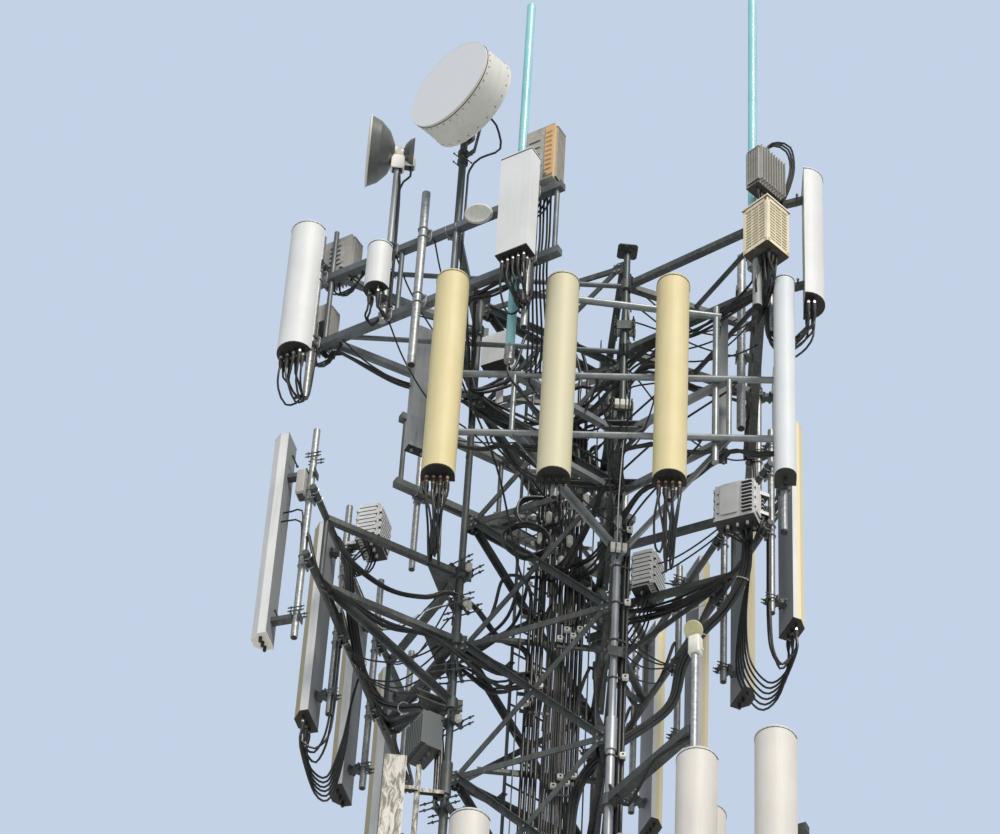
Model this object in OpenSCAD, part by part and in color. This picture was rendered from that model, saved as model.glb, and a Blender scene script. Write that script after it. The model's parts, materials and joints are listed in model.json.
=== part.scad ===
// Free-standing three-legged lattice cell tower with four antenna levels.
// Millimetres, Z up. The origin is on the underside of the front leg's base plate.

/* [Tower] */
// height of the leg tops above the ground
tower_h = 30480; // [24000:10:34000]
// face width between leg centres at the base
base_w = 3350; // [2800:10:4200]
// face width between leg centres in the straight upper part
top_w = 1524; // [1300:2:1800]
// number of flanged sections, the upper two of them straight
sections = 5; // [4:1:6]
// braced bays in each section
bays = 4; // [3:1:5]
// diameter of the solid round leg at the top
leg_top_d = 64; // [50:1:90]
// gain in leg diameter per section going down
leg_step_d = 12; // [6:1:18]
// leg of the bracing angle iron
brace_w = 56; // [40:1:80]
// thickness of the bracing angle iron
brace_t = 6; // [4:0.5:10]
// leg of the level angle irons
strut_w = 64; // [45:1:90]
// height of a gusset plate
gusset_h = 150; // [120:5:260]
// diameter of the leg flange plates
flange_d = 210; // [190:5:280]
// side of the square base plates
base_plate = 420; // [340:10:520]

/* [Climbing and cables] */
// width of the climbing ladder between its rail centres
ladder_w = 380; // [300:10:480]
// distance between two ladder rungs
rung_gap = 305; // [250:1:350]
// outer diameter of one feeder cable
coax_d = 32; // [26:1:36]
// feeder cables side by side in the left and in the right run
coax_across = [4, 6]; // [3:1:6]
// rows of feeder cables, one behind the other
coax_deep = 2; // [1:1:3]
// distance between two straps round the front leg and its cables
strap_gap = 440; // [300:10:700]

/* [Top level] */
// how far the upper top rail lies below the leg tops
top_drop = 480; // [300:10:700]
// height between the two top rails
top_gap = 900; // [700:10:1000]
// length of the top rails
top_rail_len = 2640; // [2560:10:2900]
// distance from the tower axis to the top rails
top_rail_out = 1730; // [1500:10:2000]
// side of the square top rails
top_rail_w = 80; // [60:1:110]
// length of the white canister antennas
canister_len = 1740; // [1400:10:2100]
// width of the canister antennas
canister_w = 330; // [260:5:340]
// diameter of the shrouded dish
drum_d = 970; // [700:10:1100]
// depth of the shroud
drum_depth = 340; // [250:5:450]
// diameter of the large one of the two small dishes
bowl_d = 690; // [500:10:760]
// length of the two teal whip antennas
whip_len = 5100; // [4000:10:5600]
// diameter of the whips
whip_d = 84; // [60:1:100]

/* [Middle level] */
// how far the upper rail with the cream antennas lies below the leg tops
mid_drop = 2480; // [2300:10:2700]
// height between the two rails with the cream antennas
mid_rail_gap = 750; // [600:10:850]
// length of the middle rails
mid_rail_len = 3180; // [3080:10:3400]
// distance from the tower axis to the front rails
mid_rail_out = 1426; // [1300:2:1700]
// outer diameter of the round rails and mount pipes
pipe_d = 62; // [48:1:76]
// distance between two neighbouring antennas
mid_gap = 985; // [850:5:1010]
// length of the cream antennas
cream_len = 2500; // [2200:10:2800]
// width of the cream antennas
cream_w = 292; // [260:2:360]
// how far the upper rail of the left frame lies below the leg tops
left_drop = 3680; // [3400:10:3900]
// length of the side panels
side_len = 2300; // [2000:10:2700]

/* [Lower level] */
// how far the upper rail of the lower frames lies below the leg tops
low_drop = 8130; // [7700:10:8600]
// height between the two lower rails
low_gap = 700; // [500:10:900]
// length of the lower canister antennas
low_len = 2000; // [1700:10:2200]

/* [Hidden] */
$fn = 48;
// derived heights and widths
section_h = tower_h / sections;
bay_h = section_h / bays;
straight_z = tower_h - 2 * section_h;
plate_t = 32;
sleeve_h = 360;
cap_w = 140;
top_r = top_w / sqrt(3);
// where the tower axis stands, seen from the front leg's base plate
axis_x = -base_w / sqrt(3) * cos(300);
axis_y = -base_w / sqrt(3) * sin(300);
// outward directions of the sector frames
top_face = 235;
mid_face = 264;
right_face = 18;
left_face = 159;
low_face = 240;
// heights of the rails
top_hi = tower_h - top_drop;
top_lo = top_hi - top_gap;
mid_hi = tower_h - mid_drop;
mid_lo = mid_hi - mid_rail_gap;
left_hi = tower_h - left_drop;
left_lo = left_hi - 800;
low_hi = tower_h - low_drop;
low_lo = low_hi - low_gap;
// the rails start this far beside the tower axis, and their pipes stand on them from there
top_rail_x = -1760;
canister_pipe_x = top_rail_x + 60;
box_x = top_rail_x + 2350;
mid_rail_x = -1130;
mid_first = mid_rail_x + 115;
left_rail_x = -1500;
left_first = left_rail_x + 115;
right_rail_out = mid_rail_out + 114;
left_rail_out = mid_rail_out + 350;
low_rail_out = 940;
low_rail_x = -1450;
low_rail_len = 4150;
low_rail_w = 76;
arm_w = 64;
// bodies of the antennas and radio units
antenna_d = 205;
canister_d = 185;
panel_w = 290;
panel_d = 150;
radio_w = 320;
radio_d = 200;
radio_h = 500;
plug_d = 26;
// feeder cables and their rack
coax_end = 2400;
coax_gap = coax_d + 6;
coax_run_x = [-200, 105];
coax_y = -220;
rack_d = 40;
rack_y = coax_y + coax_deep * coax_gap / 2 + 12;
bar_w = 40;
leg_cable_dir = 20;
leg_cable_drop = 3580;
// colours
steel = "#4a5450";
galv = "#9aa3a3";
white = "#e9ebec";
cream = "#e6d9a4";
pale_cream = "#ddd7b4";
black = "#1c1e20";
teal = "#7fd4cf";
grey = "#8b9092";
beige = "#d9cfae";

// ground plan of leg k on a triangle of face width w
function leg_xy(k, w) = [w / sqrt(3) * cos(180 + 120 * k), w / sqrt(3) * sin(180 + 120 * k)];
// face width at height z
function face_w(z) = z >= straight_z ? top_w : base_w - (base_w - top_w) * z / straight_z;
// centre of leg k at height z
function leg_at(k, z) = [leg_xy(k, face_w(z)).x, leg_xy(k, face_w(z)).y, z];
// diameter of the legs in section s, counted from the ground
function leg_d(s) = leg_top_d + leg_step_d * (sections - 1 - s);
// section a height lies in, counted from the ground
function section_at(z) = min(sections - 1, floor(z / section_h));
// leg k as seen in a sector frame that faces direction a
function leg_in(k, a, z) = [top_r * cos(90 + 120 * k - a), top_r * sin(90 + 120 * k - a), z];

// everything is drawn round the tower axis, then set with the front leg on the origin
module tower() translate([axis_x, axis_y, 0]) children();
// a sector frame: -Y looks outward in direction a
module facing(a) rotate([0, 0, a + 90]) children();

module along(p, q) {
    v = q - p;
    translate(p) rotate([0, acos(v.z / norm(v)), atan2(v.y, v.x)]) children();
}
// point p moved toward q by r in plan
function from(p, q, r) = p + (q - p) * r / norm([q.x - p.x, q.y - p.y]);
// round bar from p to q
module rod(p, q, d) along(p, q) cylinder(d = d, h = norm(q - p));
// level bar from p to q, w wide and h high
module beam(p, q, w, h) {
    n = [p.y - q.y, q.x - p.x] * w / 2 / norm([p.y - q.y, q.x - p.x]);
    translate([0, 0, p.z - h / 2]) linear_extrude(h)
        polygon([[p.x, p.y] + n, [p.x, p.y] - n, [q.x, q.y] - n, [q.x, q.y] + n]);
}
// angle iron from p to q, its flat leg in the face, its other leg to side s
module angle_iron(p, q, w, t, s, back = 1) along(p, q) linear_extrude(norm(q - p)) scale_y(s)
    polygon([[-w / 2, -back], [w / 2, -back], [w / 2, t], [t - w / 2, t], [t - w / 2, w], [-w / 2, w]]);
module scale_y(s) if (s > 0) children(); else mirror([0, 1]) children();

// leg with flanges, a sleeve, a cap and a base plate; the left leg is drawn and turned to leg k
module leg(k) color(steel) tower() rotate([0, 0, 120 * k]) {
    for (s = [0 : sections - 1])
        rod(leg_at(0, s == 0 ? plate_t / 2 : s * section_h), leg_at(0, (s + 1) * section_h), leg_d(s));
    for (s = [1 : sections - 1]) if (s == sections - 1)
        translate(leg_at(0, s * section_h)) translate([0, 0, -sleeve_h / 2])
            cylinder(d = leg_d(s - 1) + 24, h = sleeve_h);
    else
        translate(leg_at(0, s * section_h)) translate([0, 0, -plate_t]) difference() {
            cylinder(d = flange_d, h = 2 * plate_t);
            translate([0, 0, plate_t - 1]) difference() {
                cylinder(d = flange_d + 10, h = 2);
                translate([0, 0, -1]) cylinder(d = flange_d - 16, h = 4);
            }
        }
    translate(leg_at(0, tower_h)) translate([-cap_w / 2, -cap_w / 2, -6]) cube([cap_w, cap_w, 16]);
    translate(leg_at(0, 0)) translate([-base_plate / 2, -base_plate / 2, 0])
        cube([base_plate, base_plate, plate_t]);
    for (a = [0 : 90 : 270]) translate(leg_at(0, plate_t)) rotate([0, 0, a])
        translate([0, 6, -1]) rotate([90, 0, 0])
        linear_extrude(12) polygon([[leg_d(0) / 2 - 12, 0], [base_plate / 2 - 25, 0], [leg_d(0) / 2 - 4, 260]]);
}

// studs and nuts that hold the base plates
module anchor_bolts() color(galv) tower()
    for (k = [0 : 2], a = [-1, 1], b = [-1, 1]) rotate([0, 0, 120 * k])
    translate(leg_at(0, plate_t) + [a, b, 0] * (base_plate / 2 - 50)) {
        cylinder(d = 56, h = 28, $fn = 6);
        cylinder(d = 30, h = 70);
    }

// one gusset plate in the face plane, growing from a leg toward the middle of the face
module gusset(d) rotate([90, 0, 0]) translate([0, 0, -5])
    linear_extrude(10) polygon([[d / 2 - 3, -gusset_h / 2], [gusset_h * 0.62, -gusset_h / 2],
        [gusset_h, -gusset_h / 5], [gusset_h, gusset_h / 5], [gusset_h * 0.62, gusset_h / 2],
        [d / 2 - 3, gusset_h / 2]]);

// bracing of one face between bays b0 and b1, drawn with X along the face from leg k to the next
module face_lattice(k, b0, b1) color(steel) tower() rotate([0, 0, 120 * k - 30]) {
    for (b = [b0 : b1 - 1]) {
        angle_iron(in_face(-1, b, 90), in_face(1, b + 1, 90), brace_w, brace_t, 1);
        angle_iron(in_face(-1, b + 1, 90), in_face(1, b, 90), brace_w, brace_t, -1);
    }
    for (b = [(b0 == 0 ? 0 : b0 + 1) : b1]) {
        angle_iron(in_face(-1, b, 90), in_face(1, b, 90), strut_w, brace_t + 2, 1, 3);
        for (e = [0, 1]) translate(in_face(2 * e - 1, b, 0)) mirror([e, 0, 0])
            gusset(leg_d(section_at(panel_z(b))));
    }
}
// panel points, clear of the base plates and of the leg caps
function panel_z(b) = b * bay_h + (b == 0 ? 420 : b == sections * bays ? -190 : 0);
// panel point b in a face's own frame, on side -1 or 1, some way inside the leg
function in_face(side, b, inside) = [side * (face_w(panel_z(b)) / 2 - inside),
    -face_w(panel_z(b)) / 2 / sqrt(3), panel_z(b)];

mid_bay = (sections - 2) * bays;

// ladder inside the rear face, tied to every level angle iron there
ladder_x = 60;
ladder_y = -320;
module climbing_ladder() color(steel) tower() rotate([0, 0, 210]) {
    for (s = [-1, 1]) {
        translate([ladder_x + s * ladder_w / 2 - 5, ladder_y - 20, 300]) cube([10, 40, tower_h - 900]);
        for (b = [1 : sections * bays - 1]) translate([ladder_x + s * ladder_w / 2 - 25, rear_y(b), shelf_z(b)])
            cube([50, ladder_y + 20 - rear_y(b), 8]);
    }
    for (z = [450 : rung_gap : tower_h - 800]) translate([ladder_x - ladder_w / 2, ladder_y, z])
        rotate([0, 90, 0]) cylinder(d = 20, h = ladder_w);
}
// top of the level angle irons and the plane just inside a face at panel point b
function shelf_z(b) = panel_z(b) + strut_w / 2;
function inner_r(b) = face_w(panel_z(b)) / 2 / sqrt(3) - brace_t - 8;
function rear_y(b) = -inner_r(b);

// rack behind the feeder cables, on bars that lie on the level angle irons of two faces
run_w = coax_across * coax_gap;
rack_x0 = coax_run_x[0] - run_w[0] / 2 - 60;
rack_x1 = coax_run_x[1] + run_w[1] / 2 + 60;
module cable_ladder() color(steel) tower() {
    for (x = [rack_x0, rack_x1 - 10]) translate([x, rack_y, coax_end - 300])
        cube([10, rack_d, tower_h - coax_end - 300]);
    for (z = [coax_end : 3 * rung_gap : tower_h - 800])
        translate([rack_x0, rack_y, z]) cube([rack_x1 - rack_x0, 8, 40]);
    y = rack_y + rack_d + bar_w / 2;
    for (b = [2 : sections * bays - 1])
        beam([-2 * (inner_r(b) + y * cos(30)) + 30, y, shelf_z(b) + bar_w / 2],
            [inner_r(b), y, shelf_z(b) + bar_w / 2], bar_w + 1, bar_w);
}

// feeder cables in two runs, each from the cable entry up to its level
function coax_drop(i, j) = [4080, 1880, 8980, 2880, 1180, 4480, 5680][(i + 2 * j) % 7];
module feeder_cables() color(black) tower()
    for (r = [0, 1], i = [0 : coax_across[r] - 1], j = [0 : coax_deep - 1])
        translate([coax_run_x[r] + (i + 0.5 - coax_across[r] / 2) * coax_gap,
            rack_y + coax_d / 2 - (j + 1) * coax_gap, coax_end])
        cylinder(d = coax_d, h = tower_h - coax_drop(i, j) - coax_end);

// cables beside the front leg, strapped to it
module leg_cables() color(black) tower() translate(leg_at(1, tower_h) - [0, 0, tower_h])
    rotate([0, 0, leg_cable_dir]) {
    r0 = leg_d(sections - 2) / 2 + coax_d / 2 + 14;
    z0 = straight_z + sleeve_h;
    z1 = tower_h - leg_cable_drop;
    for (x = [r0, r0 + coax_d + 2], y = [-1, 1] * (coax_d / 2 + 1))
        translate([x, y, z0]) cylinder(d = coax_d, h = z1 - z0);
    for (z = [z0 + 200 : strap_gap : z1 - 60]) if (abs(z - (tower_h - section_h)) > sleeve_h / 2 + 30)
        translate([0, 0, z]) linear_extrude(20) difference() {
            strap(leg_d(section_at(z)) / 2 + 4, r0 + coax_d * 1.5 + 6, coax_d + 5);
            strap(leg_d(section_at(z)) / 2, r0 + coax_d * 1.5 + 1, coax_d);
        }
}
// outline of a strap round a leg of radius r and cables out to x, y wide on each side
module strap(r, x, y) {
    circle(r = r);
    translate([0, -y]) square([x, 2 * y]);
}

// top level
// one sector frame: two square rails, uprights, arms from its own leg and a tie to the next leg
module top_frame(i) color(steel) tower() facing(top_face + 120 * i) {
    a = top_face + 120 * i;
    end_x = top_rail_x + top_rail_len;
    for (z = [top_hi, top_lo]) {
        beam([top_rail_x, -top_rail_out, z], [end_x, -top_rail_out, z], top_rail_w, top_rail_w);
        for (x = [top_rail_x + 220, arm_x])
            beam(from(leg_in(i, a, z), [x, -top_rail_out, z], collar_r(z) - 8),
                [x, -top_rail_out, z], arm_w, arm_w);
        rod(from(leg_in(i + 1, a, z), [top_rail_x + 350, -top_rail_out, z], collar_r(z) - 8),
            [top_rail_x + 350, -top_rail_out, z], 48);
        for (k = [i, i + 1]) collar(k, a, z);
    }
    rod([top_rail_x + 160, -top_rail_out, top_lo], [top_rail_x + 160, -top_rail_out, top_hi + 650], 48);
    for (x = [arm_x, arm_x - 580, end_x - 60])
        rod([x, -top_rail_out, top_lo], [x, -top_rail_out, top_hi], 48);
}
arm_x = top_rail_x + 1510;
// clamp round a straight leg, its lugs in line with the tower axis
function collar_r(z) = leg_d(section_at(z)) / 2 + 22;
module collar(k, a, z) translate(leg_in(k, a, z - 60)) rotate([0, 0, 90 + 120 * k - a]) difference() {
    union() {
        cylinder(r = collar_r(z), h = 120);
        translate([-95, -14, 0]) cube([190, 28, 120]);
    }
    translate([0, 0, -1]) cylinder(d = leg_d(section_at(z)), h = 122);
}
module top_frame_left() top_frame(0);
module top_frame_right() {
    top_frame(1);
    // shelf on the rail's end for the louvred cabinet
    color(steel) tower() facing(top_face + 120)
        translate([cabinet_x - 100, -top_rail_out - 120, top_lo + top_rail_w / 2 - 1])
        cube([top_rail_x + 120 - cabinet_x + 100, 220, 11]);
}
module top_frame_rear() top_frame(2);

// vertical pipe on a rail: x along it, out from the axis, from z0 to z1
module up_pipe(x, out, z0, z1, d) translate([x, -out, z0]) cylinder(d = d, h = z1 - z0);
top_pipe_out = top_rail_out + top_rail_w / 2 + pipe_d / 2;
post_d = 80;
post_x = top_rail_x + 1060;
post_out = top_rail_out - (top_rail_w + post_d) / 2 - 70;
module top_mount_pipes() color(galv) tower() {
    for (i = [0 : 2]) facing(top_face + 120 * i) {
        up_pipe(canister_pipe_x, top_pipe_out, top_lo - 750, top_hi + 560, pipe_d);
        up_pipe(box_x, top_pipe_out, top_lo - 950, top_hi + 550, pipe_d);
    }
    facing(top_face)
        up_pipe(top_rail_x + 1195, top_rail_out + (top_rail_w + post_d) / 2, top_lo - 880,
            top_hi + 580, post_d);
    facing(top_face + 120)
        up_pipe(post_x, post_out, top_lo - 940, top_hi + 500, post_d);
}

// D-shaped antenna body, its round front toward -Y
module d_shape(w, d) {
    intersection() {
        translate([0, (w - d) / 2]) circle(d = w);
        translate([-w / 2, -d / 2]) square([w, d]);
    }
    translate([-w / 2, (w - d) / 2]) square([w, d - w / 2]);
}
module canister(w, d, l, ports) {
    linear_extrude(l) d_shape(w, d);
    for (i = [0 : ports - 1]) translate([(i % (ports / 2) - (ports / 2 - 1) / 2) * w * 0.8 / (ports / 2),
        d * 0.05 + (i < ports / 2 ? 0 : d * 0.28), -55]) cylinder(d = 28, h = 60);
}
// the right canister stands further out than the left one
canister_x = [canister_pipe_x - 20, canister_pipe_x - 96];
canister_out = [top_rail_out + 350, top_rail_out + 455];
canister_z = [top_lo - 360, top_lo - 480];
canister_h = [canister_len - 50, canister_len - 15];
module white_canister_antennas() color(white) tower() for (i = [0 : 1]) facing(top_face + 120 * i)
    translate([canister_x[i], -canister_out[i], canister_z[i]])
        canister(canister_w, canister_d, canister_h[i], 8);
small_d = 150;
small_out = top_rail_out + 330;
module small_canister_antenna() color(white) tower() facing(top_face)
    translate([dish_x + 50, -small_out, top_lo + 75]) canister(226, small_d, 585, 4);
box_d = 160;
box_out = top_rail_out + 290;
box_z = top_lo - 220;
box_h = 1350;
module box_antennas() color(white) tower() for (i = [0 : 1]) facing(top_face + 120 * i)
    translate([box_x, -box_out, box_z]) {
        translate([-160, -box_d / 2, 0]) cube([320, box_d, box_h]);
        for (x = [-110 : 55 : 110], y = [-30, 30]) translate([x, y, -50]) cylinder(d = plug_d, h = 55);
    }

// finned radio unit, its fins toward -Y
module radio(w, d, h) {
    translate([-w / 2, -d / 4, 0]) cube([w, d * 3 / 4, h]);
    for (i = [0 : 9]) translate([-w / 2 + i * (w - 8) / 9, -d / 2, 12]) cube([8, d / 3, h - 24]);
    for (x = [-w / 4, 0, w / 4]) translate([x, d / 8, -45]) cylinder(d = 26, h = 50);
}
module top_radio_units() color(grey) tower() {
    for (p = [[100, top_hi + 80], [-80, top_lo + 100]]) facing(top_face)
        translate([canister_pipe_x + p.x, -top_rail_out + 24 + radio_d / 2, p.y])
        mirror([0, 1, 0]) radio(radio_w, radio_d, radio_h);
    // a unit above the cabinet, on two arms from the canister's pipe
    facing(top_face + 120) {
        translate([cabinet_x + 25, -cabinet_out, cabinet_top + 280]) rotate([0, 0, -45])
            radio(radio_w, radio_d, radio_h);
        for (z = [cabinet_top + 380, cabinet_top + 660])
            beam([canister_pipe_x - 10, -top_pipe_out, z], [cabinet_x + 60, -cabinet_out, z], 50, 30);
    }
}
module tan_radio_unit() tower() facing(top_face)
    translate([box_x + 40, -top_pipe_out + pipe_d / 2 + 105, top_hi + 150]) mirror([0, 1, 0])
        color(grey) radio(300, 210, 760);
// cabinet with louvres on all four sides
cabinet_x = top_rail_x - 140;
cabinet_out = top_rail_out + 20;
cabinet_w = 285;
cabinet_h = 620;
cabinet_z = top_lo + top_rail_w / 2 + 10;
cabinet_top = cabinet_z + cabinet_h;
module louvred_cabinet() color(beige) tower() facing(top_face + 120)
    translate([cabinet_x, -cabinet_out, cabinet_z]) rotate([0, 0, -45]) difference() {
        union() {
            translate([-cabinet_w / 2, -cabinet_w / 2, 0]) cube([cabinet_w, cabinet_w, cabinet_h - 20]);
            translate([-cabinet_w / 2 - 15, -cabinet_w / 2 - 15, cabinet_h - 21])
                cube([cabinet_w + 30, cabinet_w + 30, 21]);
        }
        for (z = [60 : 40 : cabinet_h - 80], s = [-1, 1]) {
            translate([-cabinet_w / 2 + 25, s * cabinet_w / 2 - 10, z]) cube([cabinet_w - 50, 20, 16]);
            translate([s * cabinet_w / 2 - 10, -cabinet_w / 2 + 25, z]) cube([20, cabinet_w - 50, 16]);
        }
    }

// shrouded dish on its mast, and two dishes back to back on a thinner one
mast_d = 70;
drum_x = top_rail_x + 1470;
drum_z = top_hi + 1450;
drum_turn = -14;
drum_side = 320;
drum_mast_out = top_rail_out - top_rail_w / 2 - mast_d / 2;
dish_x = top_rail_x + 830;
dish_z = top_hi + 1330;
module dish_masts() color(steel) tower() facing(top_face) {
    up_pipe(drum_x, drum_mast_out, top_lo - 80, drum_z + 160, mast_d);
    up_pipe(dish_x, top_pipe_out, top_lo - 110, dish_z - 50, pipe_d);
}
module drum_dish() color(white) tower() facing(top_face)
    translate([drum_x, -drum_mast_out, drum_z]) rotate([0, 0, drum_turn]) rotate([90, 0, 0]) {
        translate([drum_side, 0, mast_d / 2]) {
            translate([0, 0, 175]) cylinder(d = drum_d, h = drum_depth);
            translate([0, 0, 60]) cylinder(d1 = drum_d * 0.42, d2 = drum_d - 20, h = 116);
            translate([0, 0, 10]) cylinder(d = 240, h = 60);
        }
        translate([-70, -80, mast_d / 2]) cube([drum_side + 170, 160, 20]);
        translate([-70, -80, -mast_d / 2 - 16]) cube([140, 160, 16]);
    }
module bowl(d, h) rotate_extrude() polygon([[0, 0], [d * 0.12, 0], [d * 0.3, h * 0.22], [d * 0.43, h * 0.58],
    [d / 2, h], [d / 2 - 6, h], [d * 0.42, h * 0.64], [0, h * 0.3]]);
module small_dishes() color(white) tower() facing(top_face)
    translate([dish_x, -top_pipe_out, dish_z]) rotate([0, 0, 35]) {
        translate([-40, 0, 40]) rotate([0, -90, 0]) bowl(bowl_d, bowl_d * 0.36);
        translate([40, 0, 40]) rotate([0, 90, 0]) bowl(bowl_d / 2, bowl_d * 0.15);
        translate([-45, -45, -60]) cube([90, 90, 160]);
    }
// two whips on the inner side of the top rails
whip_x = [top_rail_x + 2120, top_rail_x + 207];
whip_out = top_rail_out - top_rail_w / 2 - whip_d / 2 - 6;
whip_z = [top_lo - 1100, top_lo + 300];
module whip_antennas() color(teal) tower() for (i = [0, 1]) facing(top_face + 120 * i)
    translate([whip_x[i], -whip_out, whip_z[i]]) {
        cylinder(d = whip_d, h = whip_len - 40);
        translate([0, 0, whip_len - 41]) cylinder(d1 = whip_d, d2 = whip_d * 0.5, h = 41);
    }

// middle level
// a sector frame with two round rails, arms, uprights and kickers, fixed to leg k
arm_span = 950;
kick_h = 760;
module mid_frame(a, k, x0, out, lo, hi) color(steel) tower() facing(a) {
    zk = lo - kick_h;
    for (z = [lo, hi]) {
        rod([x0, -out, z], [x0 + mid_rail_len, -out, z], pipe_d);
        for (s = [-1, 1]) beam(from(leg_in(k, a, z), arm_end(k, a, s, out, z), collar_r(z) - 8),
            arm_end(k, a, s, out, z), arm_w - 4, arm_w - 4);
        collar(k, a, z);
    }
    for (s = [-1, 1]) {
        angle_iron(from(leg_in(k, a, zk), arm_end(k, a, s, out, lo), collar_r(zk) - 8),
            arm_end(k, a, s, out, lo), arm_w - 4, 6, 1);
        rod(arm_end(k, a, s, out, lo), arm_end(k, a, s, out, hi), 48);
    }
    collar(k, a, zk);
}
function arm_end(k, a, s, out, z) = [leg_in(k, a, 0).x + s * arm_span, -out, z];
stay_d = 66;
stay_z = tower_h - 1600;
module front_frame() {
    mid_frame(mid_face, 1, mid_rail_x, mid_rail_out, mid_lo, mid_hi);
    color(galv) tower() facing(mid_face) {
        up_pipe(stay_x, mid_rail_out - pipe_d + 2, mid_lo - 250, stay_z + 120, pipe_d);
        rod([mid_first + 585, -mid_rail_out - 190, stay_z],
            [stay_x + 40, -mid_rail_out + pipe_d - 4, stay_z], stay_d);
    }
}
stay_x = mid_rail_x + 2480;
module right_frame() mid_frame(right_face, 2, mid_rail_x, right_rail_out, mid_lo, mid_hi);
module left_frame() mid_frame(left_face, 0, left_rail_x, left_rail_out, left_lo, left_hi);

module middle_mount_pipes() color(galv) tower() for (i = [0 : 3]) {
    x = i * mid_gap;
    facing(mid_face) up_pipe(mid_first + x, mid_rail_out + pipe_d, mid_lo - 850, mid_hi + 650, pipe_d);
    facing(right_face) up_pipe(mid_first + x, right_rail_out + pipe_d, mid_lo - 1000, mid_hi + 550, pipe_d);
    facing(left_face) up_pipe(left_first + x, left_rail_out + pipe_d, left_lo - 900, left_hi + 830, pipe_d);
}
mid_low = (mid_lo + mid_hi) / 2 - cream_len / 2 - 95;
right_low = mid_low - 150;
left_low = (left_lo + left_hi) / 2 - side_len / 2 - 200;
mid_ant_out = mid_rail_out + 450;
right_ant_out = right_rail_out + 275;
left_ant_out = left_rail_out + 275;
end_reach = 80;
// clamp on a pipe at the origin with an arm to an antenna whose back is reach away, set off by side
module clamp(d, reach, side = 0) {
    y = d / 2;
    translate([-55, -y - 12, -35]) cube([110, 12, 70]);
    translate([-55, y, -35]) cube([110, 12, 70]);
    translate([0, 0, -24]) linear_extrude(48)
        polygon([[-36, -y - 6], [36, -y - 6], [36 + side, -reach - 1], [side - 36, -reach - 1]]);
}
// heights of the two clamps of an antenna
function ends(z, l) = [z + 280, z + l - 280];
// a pair of clamps between pipe and antenna, seen in a sector frame
module clamps(x, out, zs, d, reach, side = 0) for (z = zs) translate([x, -out, z]) clamp(d, reach, side);
module antenna_brackets() color(steel) tower() {
    for (i = [0 : 3]) {
        facing(mid_face) clamps(mid_first + i * mid_gap, mid_rail_out + pipe_d, ends(mid_low, cream_len),
            pipe_d, mid_ant_out - mid_rail_out - pipe_d - antenna_d / 2);
        facing(right_face) clamps(mid_first + i * mid_gap, right_rail_out + pipe_d, ends(right_low, cream_len),
            pipe_d, right_ant_out - right_rail_out - pipe_d - panel_d / 2);
        facing(left_face) clamps(left_first + i * mid_gap, left_rail_out + pipe_d, ends(left_low, side_len),
            pipe_d, left_ant_out - left_rail_out - pipe_d - panel_d / 2 + (i == 3 ? end_reach : 0));
    }
    for (i = [0, 1]) facing(top_face + 120 * i) {
        clamps(canister_pipe_x, top_pipe_out, ends(canister_z[i], canister_h[i]), pipe_d,
            canister_out[i] - top_pipe_out - canister_d / 2, canister_x[i] - canister_pipe_x);
        clamps(box_x, top_pipe_out, ends(box_z, box_h), pipe_d, box_out - top_pipe_out - box_d / 2);
        for (z = [top_lo + i * 450, top_hi]) translate([whip_x[i], -whip_out, z - 20]) difference() {
            // between the rails the clamp reaches on to the upright
            y = -whip_d / 2 - (z > top_lo && z < top_hi ? 26 : 6);
            translate([-whip_d / 2 - 14, y, 0]) cube([whip_d + 28, whip_d / 2 + 14 - y, 40]);
            translate([0, 0, -1]) cylinder(d = whip_d, h = 42);
        }
    }
    // the post behind the right top rails stands on spacers
    facing(top_face + 120) translate([post_x, -post_out, 0]) for (z = [top_lo, top_hi]) translate([0, 0, z])
        clamp(post_d, top_rail_out - top_rail_w / 2 - post_out - 1);
    facing(top_face) clamps(dish_x, top_pipe_out, [top_lo + 150, top_lo + 560], pipe_d,
        small_out - top_pipe_out - small_d / 2, 50);
    for (i = [0 : 2], j = [0 : 3]) facing(low_face + 120 * i) clamps(low_x[j], low_pipe_out,
        ends(low_z, low_len), pipe_d, low_ant_out - low_pipe_out - antenna_d / 2, low_side[j]);
}
module cream_antennas() color(cream) tower() facing(mid_face) for (i = [0 : 2])
    translate([mid_first + i * mid_gap, -mid_ant_out, mid_low]) canister(cream_w, antenna_d, cream_len, 8);
module tall_white_antenna() color(white) tower() facing(mid_face)
    translate([mid_first + 3 * mid_gap, -mid_ant_out, mid_low + 40])
        canister(184, antenna_d, cream_len - 20, 2);
// faceted side panel: a flat front with two slanted cheeks
module side_panel(l, k = 1) {
    linear_extrude(l) scale([k, 1]) polygon([[-panel_w / 2, panel_d / 2], [panel_w / 2, panel_d / 2],
        [panel_w / 2, 0], [panel_w / 5, -panel_d / 2], [-panel_w / 5, -panel_d / 2], [-panel_w / 2, 0]]);
    for (x = [-80, 0, 80] * k) translate([x, 15, -50]) cylinder(d = plug_d, h = 55);
}
module side_panel_antennas() color(white) tower() for (i = [0 : 3]) {
    facing(right_face) translate([mid_first + i * mid_gap, -right_ant_out, right_low]) side_panel(cream_len);
    facing(left_face) translate([left_first + i * mid_gap, -left_ant_out - (i == 3 ? end_reach : 0),
        left_low + (i == 3 ? 65 : 0)]) side_panel(side_len + (i == 3 ? 140 : 0), i == 3 ? 0.75 : 1);
}
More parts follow.
